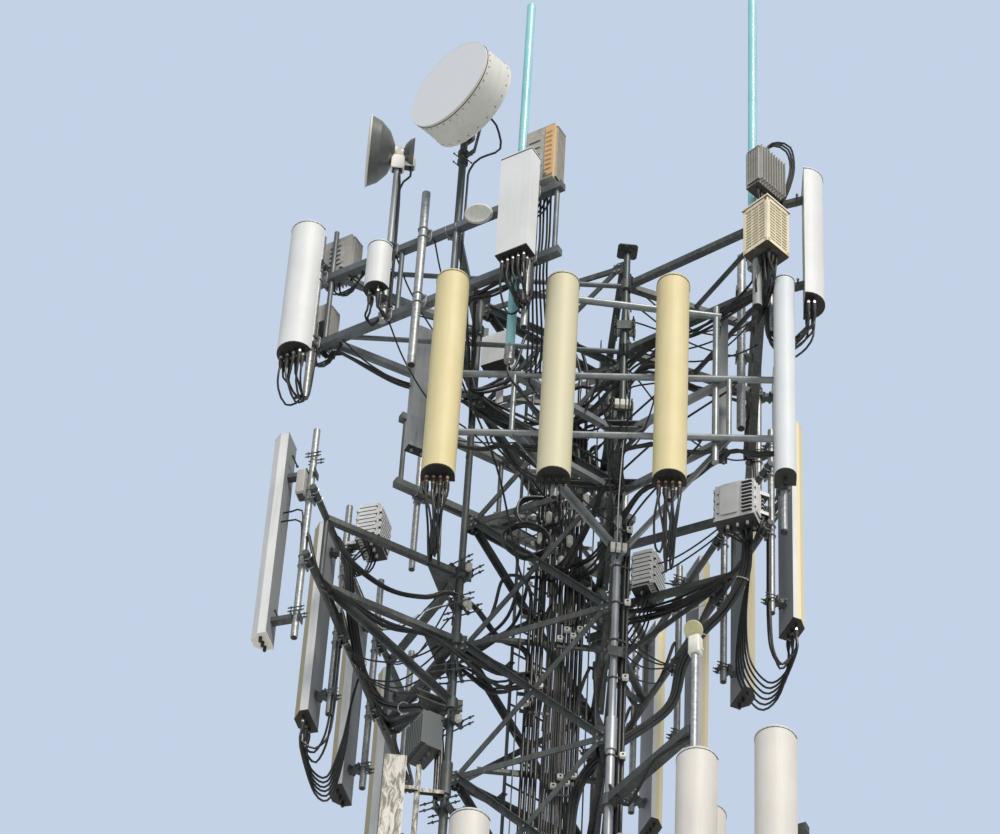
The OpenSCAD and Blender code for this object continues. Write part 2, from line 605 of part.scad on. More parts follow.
// radio units behind the rails, on an arm and on the left leg, and a small box on the left face
module side_radio_units() color(grey) tower() {
    facing(right_face) {
        translate([mid_first + 110, -right_rail_out + 210, mid_lo + 60]) rotate([0, 0, 45])
            radio(radio_w + 50, radio_d + 30, radio_h - 60);
        for (z = [mid_lo + 160, mid_lo + 400])
            translate([mid_first - 30, -right_rail_out - 30, z]) cube([90, 160, 40]);
        translate([leg_in(2, right_face, 0).x - 340, -right_rail_out + 570, mid_lo + arm_w / 2 - 2])
            rotate([0, 0, -45]) radio(radio_w - 20, radio_d, radio_h - 50);
    }
    facing(left_face) {
        translate([left_first + 2 * mid_gap + 10, -left_rail_out + radio_d * 0.95, left_hi + 230])
            radio(radio_w + 10, radio_d, radio_h - 90);
        for (z = [left_hi + 300, left_hi + 500])
            translate([left_first + 2 * mid_gap - 45, -left_rail_out - 32, z]) cube([90, 130, 40]);
    }
    translate(leg_at(0, left_lo - kick_h - 560) + [-215, 60, 0]) rotate([0, 0, -65]) {
        radio(radio_w - 20, radio_d, radio_h - 110);
        for (z = [80, 270]) translate([-40, radio_d / 2 - 1, z]) cube([80, 70, 60]);
    }
    // a small box on the left face
    rotate([0, 0, -30]) translate([-490, -inner_r(mid_bay + 7) - 17, shelf_z(mid_bay + 7)]) {
        translate([-125, -190, 300]) cube([250, 180, 390]);
        translate([-35, -14, -80]) cube([70, 14, 500]);
    }
}
// flat narrow panels and a round pod: behind the front frame, on the left arm, beside the left leg
module flat_panel(w, d, l) {
    translate([-w / 2, -d / 2, 0]) cube([w, d, l]);
    for (x = [-w / 4, w / 4]) translate([x, 0, -40]) cylinder(d = plug_d, h = 45);
}
strip_d = 80;
left_arm = atan2(leg_in(0, top_face, 0).y + top_rail_out, leg_in(0, top_face, 0).x - top_rail_x - 220);
module narrow_panels() color(white) tower() {
    facing(mid_face) {
        translate([stay_x + 45, -mid_rail_out + pipe_d + 185, mid_lo - 30]) flat_panel(130, strip_d, 1890);
        for (z = [mid_lo + 90, mid_lo + 1550]) translate([stay_x - 20, -mid_rail_out + pipe_d + 24, z])
            cube([60, 125, 40]);
    }
    facing(top_face) translate(leg_in(0, top_face, top_lo - 1070)) rotate([0, 0, 180 + left_arm])
        translate([560, arm_w / 2 + 50, 0]) rotate([0, 0, 180]) flat_panel(210, 100, 1600);
    facing(top_face + 120) translate([cabinet_x + 50, -top_rail_out + 58, cabinet_z - 620])
        cylinder(d = 86, h = 611);
    translate(leg_at(0, low_hi + 300)) {
        translate([-445, -150, 0]) flat_panel(190, strip_d, 1800);
        translate([-240, -70, -100]) cylinder(d = 48, h = 1900);
        for (z = [250, 1500]) {
            translate([-240, -90, z]) cube([240 - leg_d(sections - 2) / 2 + 26, 40, 40]);
            translate([-445, -112, z]) cube([210, 42, 40]);
        }
    }
}

// lower level
module low_frame(i) color(steel) tower() facing(low_face + 120 * i) {
    a = low_face + 120 * i;
    for (z = [low_lo, low_hi]) {
        beam([low_rail_x, -low_rail_out, z], [low_rail_x + low_rail_len, -low_rail_out, z],
            low_rail_w, low_rail_w);
        for (k = [i, i + 1]) {
            p = leg_in(k, a, z);
            // the first arm stands beside its leg, clear of the cables on it
            off = k == i ? -leg_d(section_at(z)) / 2 - arm_w / 2 - 2 : 0;
            beam([p.x + off, p.y - (off == 0 ? collar_r(z) - 8 : 0), z],
                [p.x + off, -low_rail_out, z], arm_w, arm_w);
            collar(k, a, z);
        }
    }
}
module lower_frame_left() low_frame(0);
module lower_frame_right() low_frame(1);
module lower_frame_rear() low_frame(2);
// pipes along the lower rails, and how far each antenna stands beside its pipe
low_x = [-1300, -130, 1760, 2530];
low_side = [0, 0, 100, 0];
low_pipe_out = low_rail_out + low_rail_w / 2 + pipe_d / 2;
low_ant_out = low_pipe_out + 230;
low_z = low_lo - 510;
// the side arm clamps on under the sleeve of the topmost leg joint, and its tall pipe reaches past it
arm_z = (sections - 1) * section_h - sleeve_h / 2 - 554;
tall_z = arm_z + 810;
module lower_mount_pipes() color(galv) tower() for (i = [0 : 2], j = [0 : 3]) facing(low_face + 120 * i)
    up_pipe(low_x[j], low_pipe_out, low_lo - 300, i == 0 && j == 2 ? tall_z : low_hi + 600, pipe_d);
module side_arm() color(steel) tower() facing(low_face) {
    p = leg_in(1, low_face, arm_z);
    q = [low_x[2], -low_pipe_out, arm_z];
    beam(from(p, q, collar_r(arm_z) - 8), from(q, p, pipe_d / 2), 90, 90);
    collar(1, low_face, arm_z);
}
module lower_canister_antennas() color(white) tower() for (i = [0 : 2], j = [0 : 3]) facing(low_face + 120 * i)
    translate([low_x[j] + low_side[j], -low_ant_out, low_z]) canister(canister_w, antenna_d, low_len, 6);
module disc_sensor() color(pale_cream) tower() facing(low_face)
    translate([low_x[2], -low_pipe_out, tall_z]) rotate([0, 0, 30]) {
        translate([-50, -45, 0]) cube([100, 90, 190]);
        cylinder(d = 30, h = 250);
        translate([0, -20, 290]) rotate([60, 0, 0]) translate([0, 0, -14]) cylinder(d = 190, h = 28);
        translate([-12, -30, 180]) cube([24, 40, 110]);
    }

leg(0);  // leg_left
leg(1);  // leg_front
leg(2);  // leg_rear
anchor_bolts();
face_lattice(0, mid_bay, sections * bays);  // upper_lattice_left
face_lattice(1, mid_bay, sections * bays);  // upper_lattice_right
face_lattice(2, mid_bay, sections * bays);  // upper_lattice_rear
face_lattice(0, 0, mid_bay);  // lower_lattice_left
face_lattice(1, 0, mid_bay);  // lower_lattice_right
face_lattice(2, 0, mid_bay);  // lower_lattice_rear
climbing_ladder();
cable_ladder();
feeder_cables();
leg_cables();
top_frame_left();
top_frame_right();
top_frame_rear();
top_mount_pipes();
white_canister_antennas();
small_canister_antenna();
box_antennas();
top_radio_units();
tan_radio_unit();
louvred_cabinet();
drum_dish();
dish_masts();
small_dishes();
whip_antennas();
front_frame();
right_frame();
left_frame();
middle_mount_pipes();
antenna_brackets();
cream_antennas();
tall_white_antenna();
side_panel_antennas();
side_radio_units();
narrow_panels();
lower_frame_left();
lower_frame_right();
lower_frame_rear();
lower_mount_pipes();
side_arm();
lower_canister_antennas();
disc_sensor();
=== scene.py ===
# %% [markdown]
# # Dressing a lattice cell tower
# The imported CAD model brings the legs, bracing, frames and antenna bodies, each in its real place.
# This lesson gives them finished surfaces and adds what CAD leaves out: jumper cables, connectors,
# bolts, threaded rods, clips and caps. Everything is in metres, in the frame of the CAD model.

# %% Load the CAD frame
import json
import math
import random

import bmesh
import bpy
from mathutils import Matrix, Vector


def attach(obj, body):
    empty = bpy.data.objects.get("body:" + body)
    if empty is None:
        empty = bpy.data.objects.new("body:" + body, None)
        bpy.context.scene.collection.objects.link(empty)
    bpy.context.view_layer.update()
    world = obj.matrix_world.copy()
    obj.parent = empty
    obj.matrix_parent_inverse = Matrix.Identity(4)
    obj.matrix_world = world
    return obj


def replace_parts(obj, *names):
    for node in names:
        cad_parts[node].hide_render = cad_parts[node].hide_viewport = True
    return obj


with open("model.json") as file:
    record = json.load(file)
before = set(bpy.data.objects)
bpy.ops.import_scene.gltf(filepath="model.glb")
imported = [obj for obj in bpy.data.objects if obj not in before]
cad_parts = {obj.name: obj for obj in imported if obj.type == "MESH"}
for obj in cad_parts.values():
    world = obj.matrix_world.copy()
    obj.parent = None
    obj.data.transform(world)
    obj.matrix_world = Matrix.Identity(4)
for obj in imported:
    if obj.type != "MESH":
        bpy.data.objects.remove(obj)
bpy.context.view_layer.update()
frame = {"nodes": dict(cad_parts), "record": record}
nodes = frame["nodes"]
slot_of = {s["node"]: s["material_slot"] for s in frame["record"]["subparts"]}
dice = random.Random(11)

# %% [markdown]
# The tower stands on a triangle and the origin is under its front leg, so the tower's own axis lies
# behind it. Every antenna frame faces outward in a compass-like direction. A point on a frame is
# easiest to name by how far it lies along the rails, how far out from the axis, and how high.

# %% Points on the tower
BASE_W, TOP_W, STRAIGHT_Z, BAY = 3.350, 1.524, 18.288, 1.524  # widths between legs; straight from here up
AXIS = Vector((-BASE_W / math.sqrt(3) * math.cos(math.radians(300)),
               -BASE_W / math.sqrt(3) * math.sin(math.radians(300)), 0))
TOP, FRONT, RIGHT, LEFT, LOW = 235, 264, 18, 159, 240
up, down, east, north = (Vector(v) for v in ((0, 0, 1), (0, 0, -1), (1, 0, 0), (0, 1, 0)))


def toward(angle):
    """Level unit vector in direction angle, in degrees from +X."""
    return Vector((math.cos(math.radians(angle)), math.sin(math.radians(angle)), 0))


def spot(face, x, out, z):
    """Point x metres along the rails of the frame facing face, out from the axis, z high."""
    return AXIS + toward(face) * out + toward(face + 90) * x + up * z


def by_axis(x, y, z):
    """Point east and north of the tower's axis."""
    return AXIS + Vector((x, y, z))


def width_at(z):
    """Distance from leg to leg at height z."""
    return TOP_W if z >= STRAIGHT_Z else BASE_W - (BASE_W - TOP_W) * z / STRAIGHT_Z


def leg(k, z):
    """Centre of leg k at height z: 0 is left, 1 front and 2 rear."""
    return AXIS + toward(180 + 120 * k) * (width_at(z) / math.sqrt(3)) + up * z


# for each kind of frame: how far out its rails and its mount pipes lie, lower rail, upper rail
FRAMES = {TOP % 120: (1.73, 1.801, 29.1, 30.0), FRONT % 120: (1.426, 1.488, 27.25, 28.0),
          RIGHT % 120: (1.54, 1.602, 27.25, 28.0), LEFT % 120: (1.776, 1.838, 26.0, 26.8),
          LOW % 120: (0.94, 1.009, 21.65, 22.35)}
# where the mount pipes stand along the rails
MIDDLE_X = [-1.015 + 0.985 * i for i in range(4)]
LEFT_X = [-1.385 + 0.985 * i for i in range(4)]
LOWER_X = (-1.3, -0.13, 1.76, 2.53)
print("front leg foot at", [round(v, 3) for v in leg(1, 0)])

# %% [markdown]
# The photograph was taken from the ground close to the tower, looking steeply up with a long lens
# and the phone slightly tilted. The camera is solved from the tower's own bracing points.

# %% Camera
FOCAL, PHOTO_W, SENSOR = 4073.43, 1000, 36  # pixels, pixels, mm
yaw, pitch, roll = 0.0454257, 0.8080594, 0.0649723
level = Vector((math.cos(yaw), -math.sin(yaw), 0))
ahead = Vector((math.sin(yaw) * math.cos(pitch), math.cos(yaw) * math.cos(pitch), math.sin(pitch)))
rise = level.cross(ahead)
across = math.cos(roll) * level + math.sin(roll) * rise
upright = -math.sin(roll) * level + math.cos(roll) * rise
camera = bpy.data.objects.new("camera", bpy.data.cameras.new("camera"))
bpy.context.scene.collection.objects.link(camera)
camera.data.sensor_width = SENSOR
camera.data.lens = SENSOR * FOCAL / PHOTO_W
camera.data.clip_end = 500
camera.matrix_world = Matrix((across, upright, -ahead)).transposed().to_4x4()
camera.location = by_axis(-1.80818, -26.04137, 1.6)
bpy.context.scene.camera = camera
print("camera looks up at", round(math.degrees(pitch), 1), "degrees")

# %% [markdown]
# Colours are noted as sRGB hex values, as a paint program shows them, and shaders want linear
# values, so one function turns them. A second small function adds any shader node and links it.

# %% Colour and node helpers


def linear(code):
    """sRGB hex colour as the linear RGBA that shaders use."""
    parts = [int(code[i:i + 2], 16) / 255 for i in (1, 3, 5)]
    return tuple(v / 12.92 if v <= 0.04045 else ((v + 0.055) / 1.055) ** 2.4 for v in parts) + (1,)


def add(mat, kind, sockets, out=0, **settings):
    """Add a shader node, set or link its sockets, and return its output number out."""
    made = mat.node_tree.nodes.new("ShaderNode" + kind)
    for key, value in settings.items():
        setattr(made, key, value)
    for key, value in sockets.items():
        if isinstance(value, bpy.types.NodeSocket):
            mat.node_tree.links.new(value, made.inputs[key])
        else:
            made.inputs[key].default_value = value
    return made.outputs[out]


def blended(mat, share, one, two):
    """Colour between one and two; share 0 gives one. Each is a hex value or a node's output."""
    one, two = [linear(c) if isinstance(c, str) else c for c in (one, two)]
    return add(mat, "Mix", {0: share, 6: one, 7: two}, out=2, data_type="RGBA")


def window(mat, value, low, high):
    """Value stretched so that low becomes 0 and high becomes 1, kept between them."""
    return add(mat, "MapRange", {"Value": value, "From Min": low, "From Max": high})


# nodes and outputs that tell where a point lies, and where its face looks in the world and on the object
PLACE, FACING, OWN_FACING = ("TexCoord", 3), ("NewGeometry", 1), ("TexCoord", 1)


def turning(mat, colour, other, way, limit, source=PLACE, under=False):
    """Colour that is another one past a limit along way: by place, or by where the face looks."""
    kind, out = source
    reach = add(mat, "VectorMath", {0: add(mat, kind, {}, out=out), 1: way}, out=1, operation="DOT_PRODUCT")
    passed = add(mat, "Math", {0: reach, 1: limit}, operation="LESS_THAN" if under else "GREATER_THAN")
    return blended(mat, passed, colour, other)


# %% [markdown]
# Every surface up here is out in all weather. So each finish starts from one recipe: a base colour,
# broad cloudy patches where it has faded or oxidised, dirt that rain drew down in streaks, and a
# fine grain in the bump and the roughness. Patch and grain sizes are real ones in millimetres.

# %% The weathered finish
finishes = {}


def weathered(name, colours, patch, rough, grain, depth, metal=0.0, soiled=0.5):
    """Make one outdoor finish from base, faded and dirt colours: sizes in mm, soiled from 0 to 1."""
    base, faded, streak = colours.split()
    mat = bpy.data.materials.new(name)
    mat.use_nodes = True
    surface = mat.node_tree.nodes["Principled BSDF"]
    place = add(mat, "TexCoord", {}, out=3)
    cloud = add(mat, "TexNoise", {"Vector": place, "Scale": 1000 / patch, "Detail": 5, "Roughness": 0.6})
    drawn = add(mat, "Mapping", {"Vector": place, "Scale": (14, 14, 0.9)})
    runs = add(mat, "TexNoise", {"Vector": drawn, "Scale": 1.6, "Detail": 6, "Roughness": 0.65})
    speck = add(mat, "TexNoise", {"Vector": place, "Scale": 1000 / grain, "Detail": 3})
    colour = blended(mat, window(mat, cloud, 0.35, 0.68), base, faded)
    dirty = add(mat, "Math", {0: window(mat, runs, 0.5, 0.78), 1: soiled}, operation="MULTIPLY")
    colour = blended(mat, dirty, colour, streak)
    dull = add(mat, "MapRange", {"Value": speck, "From Min": 0.3, "From Max": 0.7,
                                 "To Min": rough - 0.07, "To Max": rough + 0.08})
    bump = add(mat, "Bump", {"Height": speck, "Distance": depth / 1000, "Strength": 0.6})
    for socket, value in (("Base Color", colour), ("Roughness", dull), ("Normal", bump)):
        mat.node_tree.links.new(value, surface.inputs[socket])
    surface.inputs["Metallic"].default_value = metal
    finishes[name] = mat
    return mat, colour


def paint(mat, colour):
    """Lead a colour to the surface of a finish."""
    surface = mat.node_tree.nodes["Principled BSDF"]
    mat.node_tree.links.new(colour, surface.inputs["Base Color"])
    return surface


# %% [markdown]
# The angle irons are hot-dip galvanised steel that has gone dull: zinc turns from bright to a dark
# grey-green patina, so it is only partly metallic to the eye. Pipes that were added in later years
# and the front leg still show brighter zinc, with the flaky crystals called spangle.

# %% Galvanised steel, old and new
weathered("dull_galvanised_steel", "#5a5f60 #43494a #7d8486", 260, 0.56, 6, 0.4, metal=0.35, soiled=0.55)
new_zinc, zinc_colour = weathered("bright_galvanised_steel", "#8b9095 #7d8287 #a6aaae", 220, 0.46, 5, 0.3,
                                  metal=0.45)
# real spangle is 5 to 15 mm across; 24 mm is drawn so that it shows at this distance
spangle = add(new_zinc, "TexVoronoi", {"Vector": add(new_zinc, "TexCoord", {}, out=3),
                                       "Scale": 1000 / 24}, out=1)
shade = add(new_zinc, "RGBToBW", {"Color": spangle})
paint(new_zinc, blended(new_zinc, window(new_zinc, shade, 0.1, 2.6), zinc_colour, "#dfe3e6"))

# rails are between the two: worn, and the round ones with a live shine
weathered("weathered_rail_steel", "#6e757b #596066 #8b9196", 240, 0.5, 6, 0.4, metal=0.4)
weathered("worn_galvanised_steel", "#939a9f #7b8287 #b1b6b9", 200, 0.42, 5, 0.3, metal=0.5)

# above this height the front leg is painted dark grey: painted shadow of the antennas that hang over it
LEG_SHADOW_Z = 26.95
front_leg, leg_colour = weathered("leg_steel_shadowed_above", "#a3a9b1 #9298a0 #bcc1c7", 240, 0.45, 5, 0.3,
                                  metal=0.45)
paint(front_leg, turning(front_leg, leg_colour, "#474e50", up, LEG_SHADOW_Z))

# of the two dish masts, the thin one to the left is bright, the thick one dull
masts, mast_colour = weathered("dish_mast_steel", "#4d5456 #3f4547 #737a7c", 220, 0.5, 5, 0.3, metal=0.4)
between = spot(TOP, -0.6, 1.7, 0).dot(toward(TOP + 90))
paint(masts, turning(masts, mast_colour, "#a3a9ae", toward(TOP + 90), between, under=True))
print("galvanised finishes:", ", ".join(finishes))

# %% [markdown]
# A radome is the cover of an antenna: a glass-fibre shell with a gel coat, smooth and faintly glossy.
# Sun makes it chalky and yellow in places. Its underside is a black end cap, which the normal's
# downward direction picks out, so the cap stays right on every antenna whatever its height.

# %% Radome gel coats


def capped_or_shaded_below(mat, colour, cap="#17181a"):
    """Blacken the faces that look down: on antennas this is the end cap and its connectors; on the radio
    units it is painted shade under them; elsewhere it just darkens the underside.
    """
    surface = paint(mat, turning(mat, colour, cap, up, -0.8, FACING, under=True))
    surface.inputs["Coat Weight"].default_value = 0.05
    surface.inputs["Coat Roughness"].default_value = 0.45


for name, colours in (("white_gel_coat", "#dfe3e8 #d3d7dc #b9bbb8"),
                      ("cool_white_gel_coat", "#d9dfe7 #cfd6df #b7bcc2"),
                      ("warm_white_gel_coat", "#dad9d7 #d0cecb #b3b0a9")):
    capped_or_shaded_below(*weathered(name, colours, 700, 0.6, 9, 0.25, soiled=0.25))

# the middle cream antenna has bleached paler than its neighbours
cream, cream_colour = weathered("cream_gel_coat", "#dacfa5 #d3c799 #b8ab83", 600, 0.62, 9, 0.25, soiled=0.3)
middle_x = spot(FRONT, MIDDLE_X[1], 1.876, 0).x
bleached = turning(cream, cream_colour, blended(cream, 0.8, cream_colour, "#cac8b0"), east, middle_x - 0.4)
capped_or_shaded_below(cream, turning(cream, bleached, cream_colour, east, middle_x + 0.4), "#33271b")

# %% [markdown]
# The side panels are faceted: a flat front and two slanted cheeks, which take the most sun and have
# yellowed, between whiter flanks. A grey back plate closes them. Place and normal tell these apart.
# The last panel of the left frame is newer and has not yellowed.

# %% Faceted panels
panel, panel_colour = weathered("faceted_panel_gel_coat", "#dcdfe4 #cfd3d8 #a8a59c", 500, 0.58, 9, 0.3,
                                soiled=0.45)
LAST_X, EDGE_OUT = 1.08, 1.782  # left of the last panel; on the right the yellow reaches 33 mm into the flank
cheeks = {LEFT: turning(panel, turning(panel, panel_colour, "#aaa285", toward(LEFT), 0.3, OWN_FACING),
                        panel_colour, toward(LEFT + 90), LAST_X + AXIS.dot(toward(LEFT + 90))),
          RIGHT: turning(panel, panel_colour, "#e3d6b2", toward(RIGHT), EDGE_OUT + AXIS.dot(toward(RIGHT)))}
backed = [turning(panel, colour, "#8b9098", toward(face), -0.5, OWN_FACING, under=True)
          for face, colour in cheeks.items()]
capped_or_shaded_below(panel, turning(panel, *backed, east, AXIS.x), "#2b221a")

# the panel beside the left leg has lost much of its paint
strip, strip_colour = weathered("old_painted_panel", "#949a9f #a5a9ac #66675f", 260, 0.58, 7, 0.3, soiled=0.8)
stretched = add(strip, "Mapping", {"Vector": add(strip, "TexCoord", {}, out=3), "Scale": (9, 9, 2.2)})
flakes = add(strip, "TexNoise", {"Vector": stretched, "Scale": 2.4, "Detail": 9, "Roughness": 0.72,
                                 "Distortion": 0.6})
flaked_paint = blended(strip, window(strip, flakes, 0.46, 0.56), "#d3d2cd", "#77736a")
capped_or_shaded_below(strip, turning(strip, strip_colour, flaked_paint, up, 24.6, under=True))

# %% [markdown]
# Radio units are cast aluminium boxes with cooling fins, painted with grey or white powder coat.
# Powder coat has a fine orange-peel skin. The tan one has a coloured cover on one side, found by
# the normal as before. The louvred cabinet and the disc are cream-coloured enamel and ABS.

# %% Powder-coated castings, enamel and ABS
# the faces of the units that look down are made near black: painted shade under them
capped_or_shaded_below(*weathered("grey_powder_coat", "#b2b2b0 #a1a09b #77766f", 160, 0.5, 4, 0.35, soiled=0.4), "#3c3d3d")
weathered("tan_cover_paint", "#dcb98a #cfa97a #8f7a5c", 120, 0.5, 4, 0.35, soiled=0.4)
units, unit_colour = weathered("white_powder_coat", "#f4f5f7 #e9ebed #b9bbbc", 160, 0.5, 4, 0.35, soiled=0.2)
# below this height the white coat is painted dark grey: painted shade on the unit low on the left leg; the
# faces that look down are darker still, painted shade under the units
capped_or_shaded_below(units, turning(units, unit_colour, "#6b7274", up, 25.2, under=True), "#34373a")
tan, tan_colour = weathered("tan_cover_casting", "#b6b6b2 #979790 #6d6c66", 120, 0.5, 4, 0.35, soiled=0.4)
paint(tan, turning(tan, tan_colour, "#dcbb8c", toward(TOP + 90), 0.8, FACING))
capped_or_shaded_below(*weathered("beige_enamel", "#f1e9d2 #e6dcc3 #a19985", 150, 0.45, 5, 0.3, soiled=0.45), "#4a4336")
weathered("pale_abs_box", "#e6e6e2 #dadad5 #a3a19a", 120, 0.5, 4, 0.3, soiled=0.4)
weathered("old_enamel_louvre", "#c3b99a #b1a88a #8b846c", 150, 0.5, 5, 0.3)
weathered("pale_abs", "#d9d5ae #ccc7a0 #98937a", 120, 0.5, 4, 0.3, soiled=0.4)

# %% [markdown]
# The dishes are spun aluminium. The shrouded one wears white paint and a stretched fabric cover on
# its mouth, which is a touch cooler. The small ones have gone dark grey. The whips are
# filament-wound fibreglass tubes, pigmented teal, with a slight shine.

# %% Dishes and whips
DRUM = TOP - 14  # the way the shrouded dish looks
dish, dish_colour = weathered("painted_spun_aluminium", "#d9dad7 #d1d2cf #a4a59f", 400, 0.5, 6, 0.3,
                              soiled=0.3)
paint(dish, turning(dish, dish_colour, "#dfe3ec", toward(DRUM), 0.95, FACING))
weathered("bare_spun_aluminium", "#747776 #6a6d6c #8b8e8c", 300, 0.38, 5, 0.3, metal=0.5, soiled=0.3)
whip, whip_colour = weathered("teal_fibreglass", "#97d8e2 #82cad4 #b2e2e8", 350, 0.35, 3, 0.2, soiled=0.4)
paint(whip, whip_colour).inputs["Coat Weight"].default_value = 0.2

# %% [markdown]
# Cables have black polyethylene jackets, smooth and a little glossy, dusted grey where dirt holds.
# Connectors are brass and copper, boots are rubber, clips are white nylon, and the rods, nuts and
# bolts are stainless steel. These small parts get finer patches than the big ones.

# %% Cables and small parts
weathered("black_polyethylene", "#17191b #26292b #3d4042", 90, 0.4, 8, 0.2, soiled=0.35)
weathered("black_rubber", "#1b1b1c #29292a #3a3a39", 30, 0.6, 3, 0.2, soiled=0.3)
weathered("tarnished_copper", "#8a6450 #6e4a3c #4f4038", 20, 0.45, 2, 0.1, metal=0.6, soiled=0.4)
weathered("white_nylon", "#e2e3df #cfd0ca #a19f95", 30, 0.5, 3, 0.2, soiled=0.4)
weathered("stainless_steel", "#b4b8bb #979b9f #6d6f70", 40, 0.35, 2, 0.1, metal=0.8, soiled=0.4)
FINISH = {
    "weathered_steel": "dull_galvanised_steel", "bright_galvanised": "bright_galvanised_steel",
    "white_radome": "white_gel_coat", "cream_radome": "cream_gel_coat",
    "teal_fibreglass": "teal_fibreglass", "black_jacket": "black_polyethylene",
    "grey_casting": "grey_powder_coat", "beige_enamel": "beige_enamel", "grey_radome": "old_painted_panel",
}
SPECIAL = {
    "tall_white_antenna": "cool_white_gel_coat", "lower_canister_antennas": "warm_white_gel_coat",
    "side_panel_antennas": "faceted_panel_gel_coat", "side_radio_units": "white_powder_coat",
    "tan_radio_unit": "tan_cover_casting", "drum_dish": "painted_spun_aluminium",
    "small_dishes": "bare_spun_aluminium", "disc_sensor": "pale_abs", "leg_front": "leg_steel_shadowed_above",
    "dish_masts": "dish_mast_steel", "front_frame": "worn_galvanised_steel",
    "top_frame_left": "weathered_rail_steel",
}
for name, obj in nodes.items():
    obj.data.materials.clear()
    obj.data.materials.append(finishes[SPECIAL.get(name) or FINISH[slot_of[name]]])
print(len(finishes), "finishes on", len(nodes), "nodes")

# %% [markdown]
# The added pieces are built in mesh code from three kinds of form: a tube swept along a path for
# cables and bent bolts, a turned form for everything round or six-sided, and a slab for plates,
# clips and caps. Many small forms are joined into one piece, as they are sorted on a real tower.

# %% Tube, turned form and slab


def basis(axis):
    """Two vectors across an axis, level where they can be."""
    axis = axis.normalized()
    side_way = axis.cross(up)
    side_way = side_way.normalized() if side_way.length > 1e-4 else east
    return side_way, axis.cross(side_way).normalized()


def around(count):
    """Angles of count equal steps round a circle."""
    return [2 * math.pi * j / count for j in range(count)]


def loft(rings):
    """Skin a row of rings of equal count into vertices and faces, closed at both ends."""
    count = len(rings[0])
    points = [p for ring in rings for p in ring]
    faces = [[r * count + i, r * count + (i + 1) % count, (r + 1) * count + (i + 1) % count,
              (r + 1) * count + i] for r in range(len(rings) - 1) for i in range(count)]
    faces.append(list(range(count))[::-1])
    faces.append([(len(rings) - 1) * count + i for i in range(count)])
    return points, faces


def tube(path, radius, sides=8):
    """Sweep a circle along a path without letting it twist."""
    rings, u = [], None
    for i, p in enumerate(path):
        t = (path[min(i + 1, len(path) - 1)] - path[max(i - 1, 0)]).normalized()
        u = basis(t)[0] if u is None else (u - t * u.dot(t)).normalized()
        v = t.cross(u)
        rings.append([p + (u * math.cos(a) + v * math.sin(a)) * radius for a in around(sides)])
    return loft(rings)


def turned(base, axis, profile, sides=12):
    """Turn a profile of (radius, height) pairs round an axis that starts at base."""
    axis = axis.normalized()
    u, v = basis(axis)
    return loft([[base + axis * h + (u * math.cos(a) + v * math.sin(a)) * r for a in around(sides)]
                 for r, h in profile])


def stub(base, axis, radius, height, sides=6):
    """Plain nut, collar or short bar."""
    return turned(base, axis, [(radius, 0), (radius, height)], sides)


def slab(centre, along_x, along_y, outline, thick, chamfer=0.0):
    """Extrude a flat outline, given along two vectors, by thick, with softened edges."""
    way = along_x.cross(along_y).normalized()
    mid = Vector((sum(p[0] for p in outline), sum(p[1] for p in outline))) / len(outline)
    rings = []
    for h, inset in ((-0.5, chamfer), (-0.5, 0), (0.5, 0), (0.5, chamfer)):
        step = thick * h + (0 if inset else chamfer * (1 if h < 0 else -1))
        ring = []
        for p in outline:
            q = Vector(p)
            q = q - (q - mid).normalized() * inset
            ring.append(centre + along_x * q.x + along_y * q.y + way * step)
        rings.append(ring)
    return loft(rings if chamfer else rings[1:3])


def plate(middle, turn, w, h, thick, chamfer=0.002, level=False):
    """Plate of w by h with cut corners that looks toward turn, or lies level with h along turn."""
    c = min(w, h) * 0.12
    outline = [(x, y) for x, y in ((w / 2 - c, -h / 2), (w / 2, c - h / 2), (w / 2, h / 2 - c),
                                   (w / 2 - c, h / 2), (c - w / 2, h / 2), (-w / 2, h / 2 - c),
                                   (-w / 2, c - h / 2), (c - w / 2, -h / 2))]
    return slab(middle, toward(turn + 90), toward(turn) if level else up, outline, thick, chamfer)


# %% [markdown]
# A cable between two clips follows a smooth curve. A Catmull-Rom curve passes through every given
# point, so a route can be noted as the few places where the cable is held or hangs lowest.

# %% Smooth routes and pieces


def smooth(points, gap=0.07):
    """Points along a Catmull-Rom curve through the given ones, about gap metres apart."""
    held = [points[0] * 2 - points[1], *points, points[-1] * 2 - points[-2]]
    path = []
    for a, b, c, d in zip(held, held[1:], held[2:], held[3:]):
        steps = max(2, min(14, round((c - b).length / gap)))
        for i in range(steps):
            t = i / steps
            path.append(0.5 * (2 * b + (c - a) * t + (2 * a - 5 * b + 4 * c - d) * t * t
                               + (3 * b - a - 3 * c + d) * t ** 3))
    return path + [points[-1]]


def course(face, *places):
    """World points of a route: a Vector is one already, and three numbers are a spot of the frame."""
    return [p if isinstance(p, Vector) else spot(face, *p) for p in places]


def cord(radius, face, *places, sides=8, gap=0.07):
    """Cord on a smooth route."""
    return tube(smooth(course(face, *places), gap), radius, sides)


def piece(name, finish, forms):
    """Join forms into one mesh object that rides on the tower."""
    points, faces = [], []
    for form_points, form_faces in forms:
        start = len(points)
        points += form_points
        faces += [[i + start for i in face] for face in form_faces]
    mesh = bpy.data.meshes.new(name)
    mesh.from_pydata(points, [], faces)
    shell = bmesh.new()
    shell.from_mesh(mesh)
    bmesh.ops.recalc_face_normals(shell, faces=shell.faces)
    shell.to_mesh(mesh)
    shell.free()
    mesh.shade_smooth()
    mesh.set_sharp_from_angle(angle=math.radians(38))
    mesh.materials.append(finishes[finish])
    obj = bpy.data.objects.new(name, mesh)
    bpy.context.scene.collection.objects.link(obj)
    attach(obj, "root")
    print(name, len(forms), "forms,", len(faces), "faces")
    return obj


# %% [markdown]
# One table names every antenna: the frame it hangs on, its place, its size and its connectors, from
# the same figures as the CAD solids. The steps after this all work through the table.

# %% Table of antennas
antennas = []


